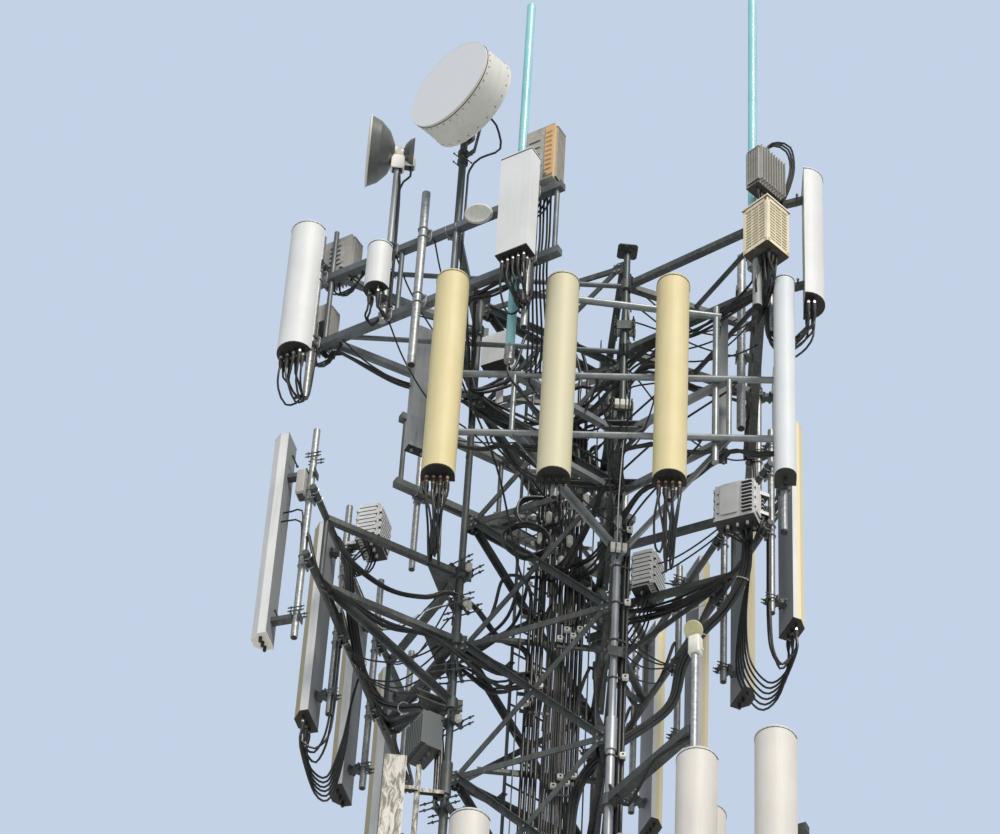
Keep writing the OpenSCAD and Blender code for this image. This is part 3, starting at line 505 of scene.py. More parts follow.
def antenna(kind, face, x, out, z, size, ports, pipe_x, drop):
    """Note an antenna: size is (width, depth, length) and drop is how deep its cables hang.

    Its ports are given as how many across, rows, the width they share, first row and row gap.
    """
    count, rows, width, first, gap = ports
    holes = [((i - (count - 1) / 2) * width / count, first + r * gap)
             for r in range(rows) for i in range(count)]
    antennas.append(dict(kind=kind, face=face, x=x, out=out, z=z, size=size, holes=holes,
                         pipe=(pipe_x, FRAMES[face % 120][1]), drop=drop))


for x, drop in zip(MIDDLE_X, (0.55, 0, 0.55)):
    antenna("cream", FRONT, x, 1.876, 26.280, (0.292, 0.205, 2.5), (4, 2, 0.234, 0.010, 0.057), x, drop)
antenna("tall", FRONT, 1.940, 1.876, 26.320, (0.184, 0.205, 2.48), (1, 2, 0.147, 0.010, 0.057), 1.940, 0)
for i, (x, out, z, length) in enumerate(((-1.72, 2.08, 28.74, 1.69), (-1.796, 2.185, 28.62, 1.725))):
    antenna("canister", TOP + 120 * i, x, out, z, (0.33, 0.185, length), (4, 2, 0.264, 0.009, 0.052),
            -1.7, 0.34)
    antenna("box", TOP + 120 * i, 0.59, 2.02, 28.88, (0.32, 0.16, 1.35), (5, 2, 0.275, -0.03, 0.06),
            0.59, 0.42)
antenna("small", TOP, -0.88, 2.06, 29.175, (0.226, 0.15, 0.585), (2, 2, 0.18, 0.008, 0.042), -0.93, 0.12)
for i in range(4):
    antenna("panel", RIGHT, MIDDLE_X[i], 1.815, 26.13, (0.29, 0.15, 2.5), (3, 1, 0.24, 0.015, 0),
            MIDDLE_X[i], (0.3, 0, 0, 0)[i])
    end, slim = i == 3, 0.75 if i == 3 else 1  # the end panel is slimmer, longer and farther out
    antenna("panel", LEFT, LEFT_X[i], 2.051 + 0.08 * end, 25.05 + 0.065 * end,
            (0.29 * slim, 0.15, 2.3 + 0.14 * end), (3, 1, 0.24 * slim, 0.015, 0),
            LEFT_X[i], (0, 0, 0.26, 0)[i])
for f in range(3):
    for x, beside_x in zip(LOWER_X, (0, 0, 0.1, 0)):
        antenna("lower", LOW + 120 * f, x + beside_x, 1.239, 21.14, (0.33, 0.205, 2.0),
                (3, 2, 0.264, 0.010, 0.057), x, 0.4)
print(len(antennas), "antennas,", sum(len(a["holes"]) for a in antennas), "connectors")

# %% [markdown]
# A radome tube is closed by a moulded cap at each end: a thin pale lid on top, with a thin dark band under it
# that is painted shadow of the lid's rim, and a deeper black one below, all a few millimetres proud of the
# shell. The outline is the shell's own: a rounded front and a flat back, or a rectangle, or the facets of a
# panel.

# %% End caps


def outline_of(a, proud):
    """Outline of an antenna across, x to its left hand and y inward, made proud all round."""
    w, d = a["size"][:2]
    if a["kind"] == "panel":
        shape = [(-w / 2, d / 2), (w / 2, d / 2), (w / 2, 0), (w * 0.2, -d / 2), (-w * 0.2, -d / 2),
                 (-w / 2, 0)]
    elif a["kind"] == "box":
        shape = [(-w / 2, -d / 2), (w / 2, -d / 2), (w / 2, d / 2), (-w / 2, d / 2)]
    else:
        arc = [math.radians(180 + 15 * j) for j in range(13)]
        bow = [(w / 2 * math.cos(t), (w - d) / 2 + w / 2 * math.sin(t)) for t in arc]
        shape = [(w / 2, d / 2), (-w / 2, d / 2)] + [p for p in bow if p[1] <= d / 2]
    return [(x * (1 + 2 * proud / w), y * (1 + 2 * proud / d)) for x, y in shape]


def cap(a, z, height, proud, chamfer=0.004):
    """One end cap of antenna a, its middle z above the antenna's foot."""
    return slab(spot(a["face"], a["x"], a["out"], a["z"] + z), toward(a["face"] + 90), -toward(a["face"]),
                outline_of(a, proud), height, chamfer)


newest = [a for a in antennas if a["face"] == LEFT and a["x"] > LAST_X]
piece("bottom_caps", "black_rubber",
      [cap(a, 0.005, 0.016, 0.002) for a in antennas if a not in newest])
piece("pale_foot", "pale_abs_box", [cap(a, 0.005, 0.020, 0.003) for a in newest])
lids = {True: [], False: []}
for a in antennas:
    lids[a["kind"] == "cream"].append(cap(a, a["size"][2] - 0.004, 0.016, 0.003))
piece("cream_lids", "cream_gel_coat", lids[True])
piece("white_lids", "cool_white_gel_coat", lids[False])
# a thin black band under each lid: painted shadow of the lid's rim
piece("lid_shadow_bands", "black_rubber",
      [cap(a, a["size"][2] - 0.020, 0.004, 0.0042, 0) for a in antennas if a["kind"] != "panel"])

# %% [markdown]
# Each connector screws on from below: a hexagon body, a knurled nut, and a long rubber boot that
# keeps the rain out. The cream antennas have copper-coloured bodies, the others plated ones. Ports
# that are not in use carry a short black cap.

# %% Connectors and boots
coppers, platings, boots = [], [], []
for a in antennas:
    for number, (hx, hy) in enumerate(a["holes"]):
        top = spot(a["face"], a["x"] + hx, a["out"] - hy, a["z"] - 0.045)
        if not a["drop"]:
            boots.append(turned(top + up * 0.042, down, [(0.0155, 0), (0.0155, 0.05), (0.012, 0.056)], 12))
            continue
        body = turned(top, down, [(0.015, 0), (0.015, 0.014), (0.018, 0.016), (0.018, 0.030)], 6)
        (coppers if a["kind"] == "cream" else platings).append(body)
        boots.append(stub(top + up * 0.042, down, 0.0152, 0.040, 10))
        reach = 0.15 if number % 2 else 0.12
        boots.append(turned(top + down * 0.028, down, [(0.016, 0), (0.020, 0.006), (0.020, 0.05),
                                                       (0.015, reach - 0.03), (0.011, reach)], 10))
        if a["kind"] == "cream":
            coppers.append(stub(top + down * (0.058 + 0.02 * (number % 3)), down, 0.0208, 0.012, 10))
piece("copper_connectors", "tarnished_copper", coppers)
piece("plated_connectors", "stainless_steel", platings)
piece("connector_boots", "black_rubber", boots)

# %% [markdown]
# A jumper cable leaves its connector straight down, hangs in a loop so that rain drips off its
# lowest point, and climbs behind the antenna to a clip on the mount pipe. It is held at both ends.
# Each loop gets its own seeded depth and lean, because no two hang alike on a real tower.

# %% Jumper loops
JOIN = 0.27  # the jumpers meet the cable runs this far above the lower rail


def jumper(a, hole, number):
    """One jumper: from its connector down, round its loop and up behind the mount pipe."""
    hx, hy = hole
    x, out, z = a["x"] + hx, a["out"] - hy, a["z"] - 0.15
    px, pout = a["pipe"]
    side_x = px + (0.028 if number % 2 else -0.028) + dice.uniform(-0.006, 0.006)
    back = pout - 0.024 - 0.010 * (number // 2)
    low = a["z"] - 0.15 - a["drop"] * dice.uniform(0.75, 1.2)
    lean = dice.uniform(-0.05, 0.05)
    end_z = max(a["z"] + 0.42, FRAMES[a["face"] % 120][2] + JOIN)
    return cord(
        0.010, a["face"], (x, out, z), (x + lean * 0.2, out, z - 0.12),
        (x * 0.75 + side_x * 0.25 + lean, out * 0.85 + back * 0.15, (z + low) / 2 - 0.06),
        (x * 0.45 + side_x * 0.55 + lean, out * 0.5 + back * 0.5, low),
        (side_x + lean * 0.4, back + 0.03, low + 0.16), (side_x, back, a["z"] + 0.10),
        (side_x, back, (a["z"] + 0.10 + end_z) / 2), (side_x, back, end_z))


loops = {}
for a in antennas:
    for number, hole in enumerate(a["holes"] if a["drop"] else ()):
        loops.setdefault(a["kind"], []).append(jumper(a, hole, number))
for kind, forms in loops.items():
    piece("jumpers_" + kind, "black_polyethylene", forms)

# %% [markdown]
# From the pipes the cables run on in bundles: under the rail to the nearest arm, in along the arm to
# the leg, and over to the feeder cables on the rack, where each joins one of the thick feeders.

# %% Cable runs along the rails and arms
RACK_Y = -0.19


def run_in(face, x, arm_x, leg_number, slot_x, spread, dip):
    """Cable from a mount pipe at x to the rack: rail, arm, leg, rack."""
    out, _, rail_z, _ = FRAMES[face % 120]
    foot = leg(leg_number, rail_z)
    arm_end = spot(face, arm_x, out - 0.1, rail_z - 0.06)
    inner = foot + (arm_end - foot).normalized() * 0.22 + up * -0.07
    rack = by_axis(slot_x, RACK_Y - 0.05, rail_z - 0.45 - dip)
    offset = Vector((spread, spread, 0)) * 0.5
    return cord(
        0.012, face, (x, out + 0.024, rail_z + 0.30), (x * 0.97 + arm_x * 0.03, out - 0.06, rail_z - 0.05),
        spot(face, (x + arm_x) / 2, out - 0.07, rail_z - 0.07 - dip * 0.3) + offset, arm_end + offset,
        (arm_end + inner) / 2 + up * (-0.05 - dip * 0.4) + offset, inner + offset,
        (inner * 0.4 + rack * 0.6) + up * (-0.12 - dip * 0.5), rack, rack + up * -0.5)


runs = {"front": [], "right": [], "left": [], "top": [], "low": []}
for i in range(4):
    for n in range(3):
        args = (0.02 * n, dice.uniform(0.02, 0.22))
        x, left_x = MIDDLE_X[i] + 0.02 * n, LEFT_X[i] + 0.02 * n
        runs["front"].append(run_in(FRONT, x, -0.433 if i < 2 else 1.467, 1, -0.14 + 0.08 * i, *args))
        runs["right"].append(run_in(RIGHT, x, -0.361 if i < 2 else 1.539, 2, 0.02 + 0.05 * i, *args))
        runs["left"].append(run_in(LEFT, left_x, -0.635 if i < 2 else 1.265, 0, -0.25 + 0.05 * i, *args))
for f in range(3):
    for n in range(4):
        args = (0.02 * n, dice.uniform(0.02, 0.2))
        runs["top"].append(run_in(TOP + 120 * f, -1.66 + 0.01 * n, -1.5, f, -0.2 + 0.03 * n, *args))
        runs["top"].append(run_in(TOP + 120 * f, 0.55 + 0.01 * n, -0.27, f, 0.05 + 0.03 * n, *args))
        runs["low"].append(run_in(LOW + 120 * f, LOWER_X[n], -0.7 if n < 2 else 0.78,
                                  f if n < 2 else (f + 1) % 3, -0.1 + 0.06 * n, *args))
for kind, forms in runs.items():
    piece("cable_runs_" + kind, "black_polyethylene", forms)

# %% [markdown]
# Every feeder ends at the level it serves. There it leaves the rack in a wide bend, since thick
# cable must not be bent tightly, passes the leg and follows an arm out to the rails.

# %% Feeder ends
# each feeder's top height, then the face, rail distance, rail height, arm's place and leg it serves
SERVES = ((26.40, LEFT, 1.776, 26.0, -0.635, 0), (28.60, TOP + 120, 1.73, 29.1, -0.25, 1),
          (21.50, LOW, 0.94, 21.65, 0.7, 1), (27.60, FRONT, 1.426, 27.25, 0.40, 1),
          (29.30, TOP, 1.73, 29.1, -0.25, 0), (26.00, RIGHT, 1.54, 27.25, -0.361, 2),
          (24.80, LOW, 1.009, 23.65, 1.17, 1))
FEEDER_GAP = 0.038
ends = []
for centre, count in ((-0.200, 4), (0.105, 6)):
    for i in range(count):
        for j in range(2):
            top_z, face, out, rail_z, arm_x, k = SERVES[(i + 2 * j) % 7]
            start = by_axis(centre + (i + 0.5 - count / 2) * FEEDER_GAP, -0.192 - FEEDER_GAP * j, top_z)
            arm_end = spot(face, arm_x + 0.05 * i, out - 0.12, rail_z - 0.075 - 0.03 * j)
            foot = leg(k, rail_z)
            inner = foot + (arm_end - foot).normalized() * 0.26 + up * (-0.10 - 0.02 * i)
            swing = (inner - start) * 0.35
            ends.append(cord(
                0.0158, face, start + up * -0.3, start + up * 0.02,
                start + Vector((swing.x * 0.3, swing.y * 0.3, 0.30 + 0.04 * i)),
                start + Vector((swing.x, swing.y, 0.36 + 0.05 * i)), (start + inner) / 2 + up * 0.15, inner,
                (inner + arm_end) / 2 + up * -0.05, arm_end,
                (arm_x + 0.35 + 0.05 * i, out - 0.038, rail_z - 0.046), sides=10))
piece("feeder_ends", "black_polyethylene", ends)

# %% [markdown]
# Bolts hold the whole lattice. Each bracing end has its gusset plate with four bolts, each flange
# a ring of eight, and the crossing of two braces has one. A bolt shows as a hexagon on each side.

# %% Bolts of the lattice


def through_bolt(middle, way, reach, size=0.014):
    """Hexagon head and nut on both sides of a plate, with the end of the thread."""
    hexagon = [(size, 0), (size, size * 0.8), (size * 0.8, size)]
    return [turned(middle + way * reach, way, hexagon, 6),
            turned(middle - way * reach, -way, hexagon + [(size * 0.5, size), (size * 0.5, size * 1.7)], 6)]


def on_face(f, x, z, dz=0):
    """Point on lattice face f, x from its middle line."""
    return spot(240 + 120 * f, x, width_at(z) / 2 / math.sqrt(3), z + dz)


lattice_bolts = []
for bay in range(21):
    z = bay * BAY + (0.42 if bay == 0 else -0.19 if bay == 20 else 0)
    for f in range(3):
        way = toward(240 + 120 * f)
        for x in (width_at(z) / 2 - 0.075, width_at(z) / 2 - 0.120):
            for side_x in (-x, x):
                for dz in (-0.038, 0.038):
                    lattice_bolts += through_bolt(on_face(f, side_x, z, dz), way, 0.006)
        if bay < 20:
            lattice_bolts += through_bolt(on_face(f, 0, (bay + 0.5) * BAY), way, 0.008)
for z in (6.096, 12.192, 18.288):
    for k in range(3):
        for turn in range(0, 360, 45):
            lattice_bolts += through_bolt(leg(k, z) + toward(turn + 22) * 0.083, up, 0.032, 0.015)
piece("lattice_bolts", "stainless_steel", lattice_bolts)

# %% [markdown]
# Where a mount pipe crosses a rail, a square plate sits between them. Two U-bolts hold the pipe to
# it and two more hold the rail. A U-bolt is a rod bent round half the pipe, with a nut on each leg.

# %% Crossing plates and U-bolts
plates, hardware = [], []


def u_bolt(centre, way, side_way, radius):
    """U-bolt round a pipe at centre: its bend lies toward way, its legs reach back past the pipe."""
    bend = [centre + (side_way * math.cos(t) + way * math.sin(t)) * (radius + 0.006) for t in around(16)[:9]]
    legs = way * (radius + 0.03)
    path = [bend[0] - legs, *bend, bend[-1] - legs]
    hardware.append(tube(path, 0.006, 6))
    hardware.extend(stub(end + way * 0.016, way, 0.012, 0.011) for end in (path[0], path[-1]))


def crossing(face, x, rail_half=0.031, pipe_out=None, pipe_r=0.031):
    """Plates and U-bolts where an upright pipe crosses both rails of a frame."""
    rail_out, usual_out, *heights = FRAMES[face % 120]
    pipe_out = pipe_out or usual_out
    sign = 1 if pipe_out > rail_out else -1
    way = toward(face) * sign
    for z in heights:
        plates.append(plate(spot(face, x, pipe_out - sign * (pipe_r + 0.001), z), face, 0.15, 0.16, 0.010))
        for dz in (-0.058, 0.058):
            u_bolt(spot(face, x, pipe_out, z + dz), way, toward(face + 90), pipe_r)
        for dx in (-0.055, 0.055):
            u_bolt(spot(face, x + dx, rail_out, z), -way, up, rail_half)


for x, left_x in zip(MIDDLE_X, LEFT_X):
    crossing(FRONT, x)
    crossing(RIGHT, x)
    crossing(LEFT, left_x)
for turn in (0, 120, 240):
    for x in (-1.7, 0.59):
        crossing(TOP + turn, x, 0.040)
    for x in LOWER_X:
        crossing(LOW + turn, x, 0.038)
for x, *mast in ((-0.93,), (-0.565, 1.81, 0.040), (-0.29, 1.655, 0.035)):
    crossing(TOP, x, 0.040, *mast)
piece("crossing_plates", "bright_galvanised_steel", plates)
piece("u_bolts", "stainless_steel", hardware)

# %% [markdown]
# The mount pipes are open below. Every pipe end of the CAD nodes is found from its downward faces,
# and a recessed black plug is set into it, sized from the pipe.

# %% Plugs in the pipe ends
plugs = []
for name in ("top_mount_pipes", "middle_mount_pipes", "lower_mount_pipes"):
    mesh, world = nodes[name].data, nodes[name].matrix_world
    groups = []
    for face in mesh.polygons:
        if (world.to_3x3() @ face.normal).z > -0.98:
            continue
        corners = [world @ mesh.vertices[i].co for i in face.vertices]
        for group in groups:
            if (group[0] - corners[0]).length < 0.12 and abs(group[0].z - corners[0].z) < 0.002:
                group += corners
                break
        else:
            groups.append(corners)
    for group in groups:
        low, high = [Vector([pick(p[i] for p in group) for i in range(3)]) for pick in (min, max)]
        radius = (high.x - low.x) / 2
        if 0.02 < radius < 0.06 and abs(high.x - low.x - high.y + low.y) < 0.004:
            plugs.append(turned((low + high) / 2, down,
                                [(radius * 0.84, -0.01), (radius * 0.84, 0.0015), (radius * 0.5, 0.002)], 20))
piece("pipe_plugs", "black_rubber", plugs)

# %% [markdown]
# Each antenna hangs on two clamps. The clamp's jaws close on the pipe by threaded rods, which are
# cut long and stick out with their nuts. A hinge pin crosses the arm next to the radome.

# %% Clamp rods of the antennas
rods = []
for a in antennas:
    x, out = a["pipe"]
    way = toward(a["face"])
    arm_out = out + (a["out"] - a["size"][1] / 2 - out) * 0.8
    heights = (a["z"] + 0.28, a["z"] + a["size"][2] - 0.28) if a["kind"] != "small" else (29.25, 29.66)
    for z in heights:
        for dx in (-0.047, 0.047):
            for dz in (-0.02, 0.02):
                rod = [spot(a["face"], x + dx, out + d, z + dz) for d in (-0.082, 0.066)]
                rods.append(tube(rod, 0.006, 6))
                rods += [stub(end + w * 0.024, w, 0.012, 0.012) for end, w in zip(rod, (way, -way))]
        pin = [spot(a["face"], a["x"] + d, arm_out, z) for d in (-0.07, 0.07)]
        rods += [tube(pin, 0.008, 6), *[stub(p, q - p, 0.014, 0.012) for p, q in (pin, pin[::-1])]]
piece("clamp_rods", "dull_galvanised_steel", rods)

# %% [markdown]
# Riggers clamp all sorts of things to the legs. Pairs of plates grip each leg under long threaded
# rods, with white blocks beside some of them.

# %% Leg clamps
leg_plates, long_rods, blocks = [], [], []


def leg_clamp(k, z, turn, half, block):
    """Two plates gripping leg k, four long rods through them, and white blocks on one side."""
    way, side_way = toward(turn), toward(turn + 90)
    centre = leg(k, z)
    for s in (-1, 1):
        leg_plates.append(plate(centre + way * s * 0.05, turn, 0.20, 0.11, 0.012))
        for dz in (-0.035, 0.035):
            middle = centre + side_way * s * 0.082 + up * dz
            long_rods.append(tube([middle + way * d for d in (-half, half)], 0.0075, 6))
            long_rods.extend(stub(middle + way * d, way, 0.015, 0.012)
                             for d in (-half + 0.04, -0.072, 0.060, half - 0.05))
    for s in range(block):
        blocks.append(plate(centre + side_way * 0.052 * (s - (block - 1) / 2) + way * 0.085, turn,
                            0.042, 0.085, 0.05, 0.005))


for n, (z, block) in enumerate(((26.86, 1), (26.42, 2), (25.62, 0), (25.05, 1), (24.06, 0), (23.0, 2),
                                (22.0, 1))):
    leg_clamp(0, z, 318 + 12 * (n % 3), 0.19, block)
for n, (z, block) in enumerate(((29.42, 0), (28.32, 3), (26.5, 3), (25.3, 0))):
    leg_clamp(1, z, 262 + 5 * n, 0.12, block)
for z in (28.6, 26.9, 25.5):
    leg_clamp(2, z, 60, 0.15, 2)
piece("leg_clamp_plates", "dull_galvanised_steel", leg_plates)
piece("leg_clamp_rods", "dull_galvanised_steel", long_rods)
piece("leg_clamp_blocks", "white_nylon", blocks)

# %% [markdown]
# Square white nylon clips hold the feeders to their rack, stepped from cable to cable, and more
# of them sit on the front leg's cable straps. A steel rope down the ladder guards the climber.

# %% Cable clips and ladder rope
CLIP_Y, ROW = -0.252, 1.7  # how far the clips lie from the axis, and from row to row
clips, bars, screws = [], [], []


def clip(middle, turn):
    """Square nylon clip with the dark head of its screw."""
    clips.append(plate(middle, turn, 0.054, 0.054, 0.036, 0.005))
    screws.append(stub(middle + toward(turn) * 0.016, toward(turn), 0.010, 0.005, 8))


for start_z, places, steps in ((3.0, (-0.257, -0.200, -0.143), (0, 1, 2)),
                               (3.8, (0.010, 0.067, 0.124, 0.181), (0, 1, 0.4, 1.2))):
    for row_z in (start_z + ROW * n for n in range(15)):
        for x, step in zip(places, steps):
            if row_z + 0.11 * step < 26.2:
                clip(by_axis(x, CLIP_Y - 0.010, row_z + 0.11 * step), -90)
        bars.append(plate(by_axis((places[0] + places[-1]) / 2 + 0.02, CLIP_Y + 0.006, row_z - 0.08), -90,
                          0.26, 0.028, 0.008))
for z in (18.848 + 0.88 * n for n in range(10)):
    if abs(z - 24.384) > 0.21:  # the leg's flange is there
        clip(leg(1, z + 0.01) + toward(350) * 0.105 + toward(262) * 0.02, 262)
piece("cable_clips", "white_nylon", clips)
piece("clip_screws", "black_rubber", screws)
piece("clip_bars", "dull_galvanised_steel", bars)
ladder_mid = AXIS + toward(210) * 0.06 + toward(120) * 0.32
held_at = (0.5, 10, 20, 29.6)
piece("ladder_rope", "stainless_steel",
      [tube([ladder_mid + up * z + toward(300) * 0.03 for z in held_at], 0.005, 6)]
      + [plate(ladder_mid + up * z + toward(300) * 0.022, 300, 0.42, 0.03, 0.012) for z in held_at])

# %% [markdown]
# The shrouded dish is closed by a band and a ring of rivets at its mouth, with a second ring at the
# back. A stiff cable leaves its hub in a wide bend and goes down its mast. The two small dishes
# have hubs, two boxes between them and their own cables.

# %% Dish details
o, s = toward(DRUM), toward(DRUM + 90)
MAST = (-0.29, 1.655)  # the shrouded dish's mast, along the rails and out
seat = spot(TOP, *MAST, 31.45) + s * 0.32
mouth = seat + o * 0.55


def ring(centre, radius, thick):
    """Hoop of round section facing along the dish's axis."""
    return tube([centre + (s * math.cos(t) + up * math.sin(t)) * radius
                 for t in [*around(72), 2 * math.pi]], thick)


piece("dish_band", "black_rubber", [ring(mouth - o * 0.028, 0.4865, 0.004)])
piece("dish_hoops", "painted_spun_aluminium",
      [ring(mouth - o * 0.004, 0.4845, 0.005), ring(seat + o * 0.215, 0.4855, 0.005)])
rivets = []
for back_off, count in ((0.055, 36), (0.30, 24)):
    for t in around(count):
        way = s * math.cos(t) + up * math.sin(t)
        rivets.append(turned(mouth - o * back_off + way * 0.484, way,
                             [(0.010, 0), (0.009, 0.004), (0.004, 0.007)], 8))
piece("dish_rivets", "stainless_steel", rivets)

small = spot(TOP, -0.93, 1.801, 31.37)  # between the small dishes
west = -east
piece("small_dish_hubs", "white_powder_coat", [
    turned(small + west * 0.04, west, [(0.07, -0.02), (0.07, 0.05), (0.045, 0.09)], 16),
    turned(small + east * 0.04, east, [(0.05, -0.02), (0.05, 0.03), (0.03, 0.06)], 16),
    plate(small + Vector((0, -0.01, -0.16)), -90, 0.13, 0.19, 0.09, 0.008),
    plate(small + Vector((0.11, 0.02, -0.10)), -90, 0.12, 0.14, 0.08, 0.008)])
piece("dish_cables", "black_polyethylene", [
    cord(0.011, TOP, seat + o * 0.02, seat - o * 0.10 + up * -0.02, seat - o * 0.22 + up * -0.22 - s * 0.05,
         (-0.13, 1.60, 31.08), (-0.235, 1.61, 30.95), (-0.245, 1.615, 30.6), (-0.245, 1.615, 29.2)),
    cord(0.011, TOP, small + Vector((0.02, -0.01, -0.25)), small + Vector((0.03, -0.03, -0.38)),
         (-0.90, 1.765, 30.75), (-0.895, 1.76, 30.2), (-0.895, 1.75, 29.2)),
    cord(0.011, TOP, small + Vector((0.12, 0.01, -0.17)), small + Vector((0.13, -0.01, -0.32)),
         (-0.885, 1.79, 30.85), (-0.885, 1.79, 30.2), (-0.885, 1.77, 29.2))])

# %% [markdown]
# The radio units get what a casting box has on its faces: cooling fins, upright on the grey units
# and level on the white ones, a carrying handle, and black cables from the connectors underneath.

# %% Radio unit fins, handles and cables
FIN, HANDLE = 0.022, 0.05  # how far fins and handles stand out


def fins(middle, turn, width, height, count=7):
    """Upright fins on a face that looks toward turn, and a bar above and below them."""
    middle = middle + toward(turn) * FIN / 2
    rows = [plate(middle + toward(turn + 90) * (i / (count - 1) - 0.5) * (width - 0.02), turn - 90, FIN,
                  height - 0.03, 0.005, 0) for i in range(count)]
    return rows + [plate(middle + up * dz, turn, width, FIN, 0.012, level=True)
                   for dz in (0.008 - height / 2, height / 2 - 0.008)]


def level_fins(middle, turn, width, height, count=8):
    """Stepped level blocks on a face that looks toward turn."""
    step = height / count
    middle = middle + toward(turn) * FIN / 2
    return [plate(middle + toward(turn + 90) * width * (0.03 if i % 2 else -0.03)
                  + up * (step * (i + 0.5) - height / 2), turn, width, FIN, step * 0.78, 0.003, level=True)
            for i in range(count)]


def handle(middle, turn, width):
    """Bent carrying handle on top of a unit."""
    bends = ((-0.5, 0), (-0.5, 0.8), (-0.4, 1), (0.4, 1), (0.5, 0.8), (0.5, 0))
    return cord(0.008, None, *[middle + toward(turn + 90) * width * x + up * HANDLE * z for x, z in bends])


white_units, grey_units, unit_cables = [], [], []
UNITS = [  # face, x, out, z, turn of the front, width, depth, height, forms, where its cables end
    (RIGHT, -0.905, 1.33, 27.31, RIGHT + 45, 0.37, 0.23, 0.44, white_units, (-0.84, 1.46, 27.20)),
    (RIGHT, 0.249, 0.97, 27.28, RIGHT - 45, 0.30, 0.20, 0.45, white_units, (0.589, 0.72, 26.80)),
    (LEFT, 0.595, 1.586, 27.03, LEFT, 0.33, 0.20, 0.41, white_units, (0.74, 1.73, 26.75)),
    (TOP + 120, -1.875, 1.75, 30.05, TOP + 75, 0.32, 0.20, 0.50, grey_units, (-1.90, 1.75, 29.75)),
    (TOP, -1.600, 1.606, 30.08, TOP, 0.32, 0.20, 0.50, grey_units, (-1.28, 1.70, 29.97)),
    (TOP, -1.780, 1.606, 29.20, TOP, 0.32, 0.20, 0.50, grey_units, (-1.45, 1.70, 29.07)),
    (TOP, 0.630, 1.665, 30.15, TOP, 0.30, 0.21, 0.76, grey_units, (0.33, 1.70, 29.97))]
for number, (face, x, out, z, turn, w, d, h, kind, far_end) in enumerate(UNITS):
    centre = spot(face, x, out, z)
    for side_turn, face_w, half in ((turn + 90, d, w / 2), (turn - 90, d, w / 2), (turn, w, d / 2),
                                    (turn + 180, w, d / 2)):
        middle = centre + toward(side_turn) * (half - 0.002) + up * h / 2
        if kind is grey_units and half == w / 2:
            kind += fins(middle, side_turn, face_w * 0.72, h - 0.03)
        if kind is white_units and (number or side_turn in (turn, turn + 90)):
            kind += level_fins(middle, side_turn, face_w * 0.86, h - 0.03)
    kind.append(handle(centre + up * (h - 0.002), turn, w * 0.6))
    for i in range(5):
        hook = centre + toward(turn + 90) * (i - 2) * w * 0.18
        goal = spot(face, *far_end) + toward(face) * 0.012 * (i - 2)
        gap = goal - hook
        far = gap.length > 0.34
        sag = up * (-0.16 - 0.035 * i if far else -0.04)
        unit_cables.append(cord(
            0.009, None, hook + up * 0.01, hook - up * 0.06, hook + gap * 0.2 + sag, hook + gap * 0.65 + sag,
            goal + up * (-0.03 if far else 0.02), goal))
print(len(UNITS), "radio units,", len(unit_cables), "cables")

# %% [markdown]
# The tan cover has ribs. The three grey units of the front top frame have a raised cover with four
# ribs on the side that looks out, and three round bosses below it.

# %% Covers, ribs and bosses
tan_front = spot(TOP, 0.735, 1.772, 30.53)
tan_forms = [plate(tan_front, TOP, 0.088, 0.70, 0.022, 0.004)]
for n in range(9):
    tan_forms.append(plate(tan_front + toward(TOP) * 0.013 + up * (0.066 * n - 0.264), TOP,
                           0.064, 0.016, 0.014, level=True))
piece("tan_cover_ribs", "tan_cover_paint", tan_forms)
for unit in UNITS[4:]:
    (x, out, z), (d, h) = unit[1:4], unit[6:8]
    cover = spot(TOP, x - (0.05 if h > 0.6 else 0), out + d / 2 + 0.004, z + h * 0.56)
    grey_units.append(plate(cover, TOP, 0.17, h * 0.62, 0.016, 0.004))
    for n in range(4):
        grey_units.append(plate(cover + toward(TOP) * 0.012 + up * (n - 1.5) * h * 0.13, TOP,
                                0.12, 0.014, 0.014, level=True))
    for n in range(3):
        grey_units.append(turned(spot(TOP, x - 0.10 + 0.09 * n, out + d / 2, z + 0.065), toward(TOP),
                                 [(0.024, -0.005), (0.024, 0.012), (0.017, 0.022), (0.004, 0.024)], 14))
piece("white_unit_fins", "white_powder_coat", white_units)
piece("grey_unit_fins", "grey_powder_coat", grey_units)
piece("unit_cables", "black_polyethylene", unit_cables)

# %% [markdown]
# The right unit of the middle level shows its worked side to the ground: a raised cover, level fins
# at its edge and bosses.

# %% Worked faces
face_parts = []
unit_middle = spot(*UNITS[0][:4]) + up * 0.22
for turn, wide, half in ((RIGHT + 225, 0.37, 0.115), (RIGHT + 315, 0.23, 0.185)):
    way, side_way = toward(turn), toward(turn + 90) * wide
    middle = unit_middle + way * (half - 0.002)
    face_parts.append(plate(middle + side_way * -0.12 + way * 0.010 + up * 0.01, turn,
                            wide * 0.5, 0.36, 0.022, 0.006))
    for n in range(9):
        face_parts.append(plate(middle + side_way * 0.33 + way * 0.016 + up * (0.045 * n - 0.18), turn,
                                wide * 0.28, 0.036, 0.010, level=True))
    for dz in (-0.12, 0.0, 0.12):
        face_parts.append(turned(middle + side_way * -0.42 + up * dz, way,
                                 [(0.016, 0), (0.014, 0.016), (0.008, 0.018)], 12))
face_parts.append(plate(unit_middle + up * 0.235, RIGHT - 45, 0.20, 0.30, 0.030, 0.008, level=True))
piece("unit_worked_faces", "white_powder_coat", face_parts)

# %% [markdown]
# The louvred cabinet gets a bright frame round each louvred side and a bunch of cables below.
# Cables loop over the unit above it and run down behind the antenna.

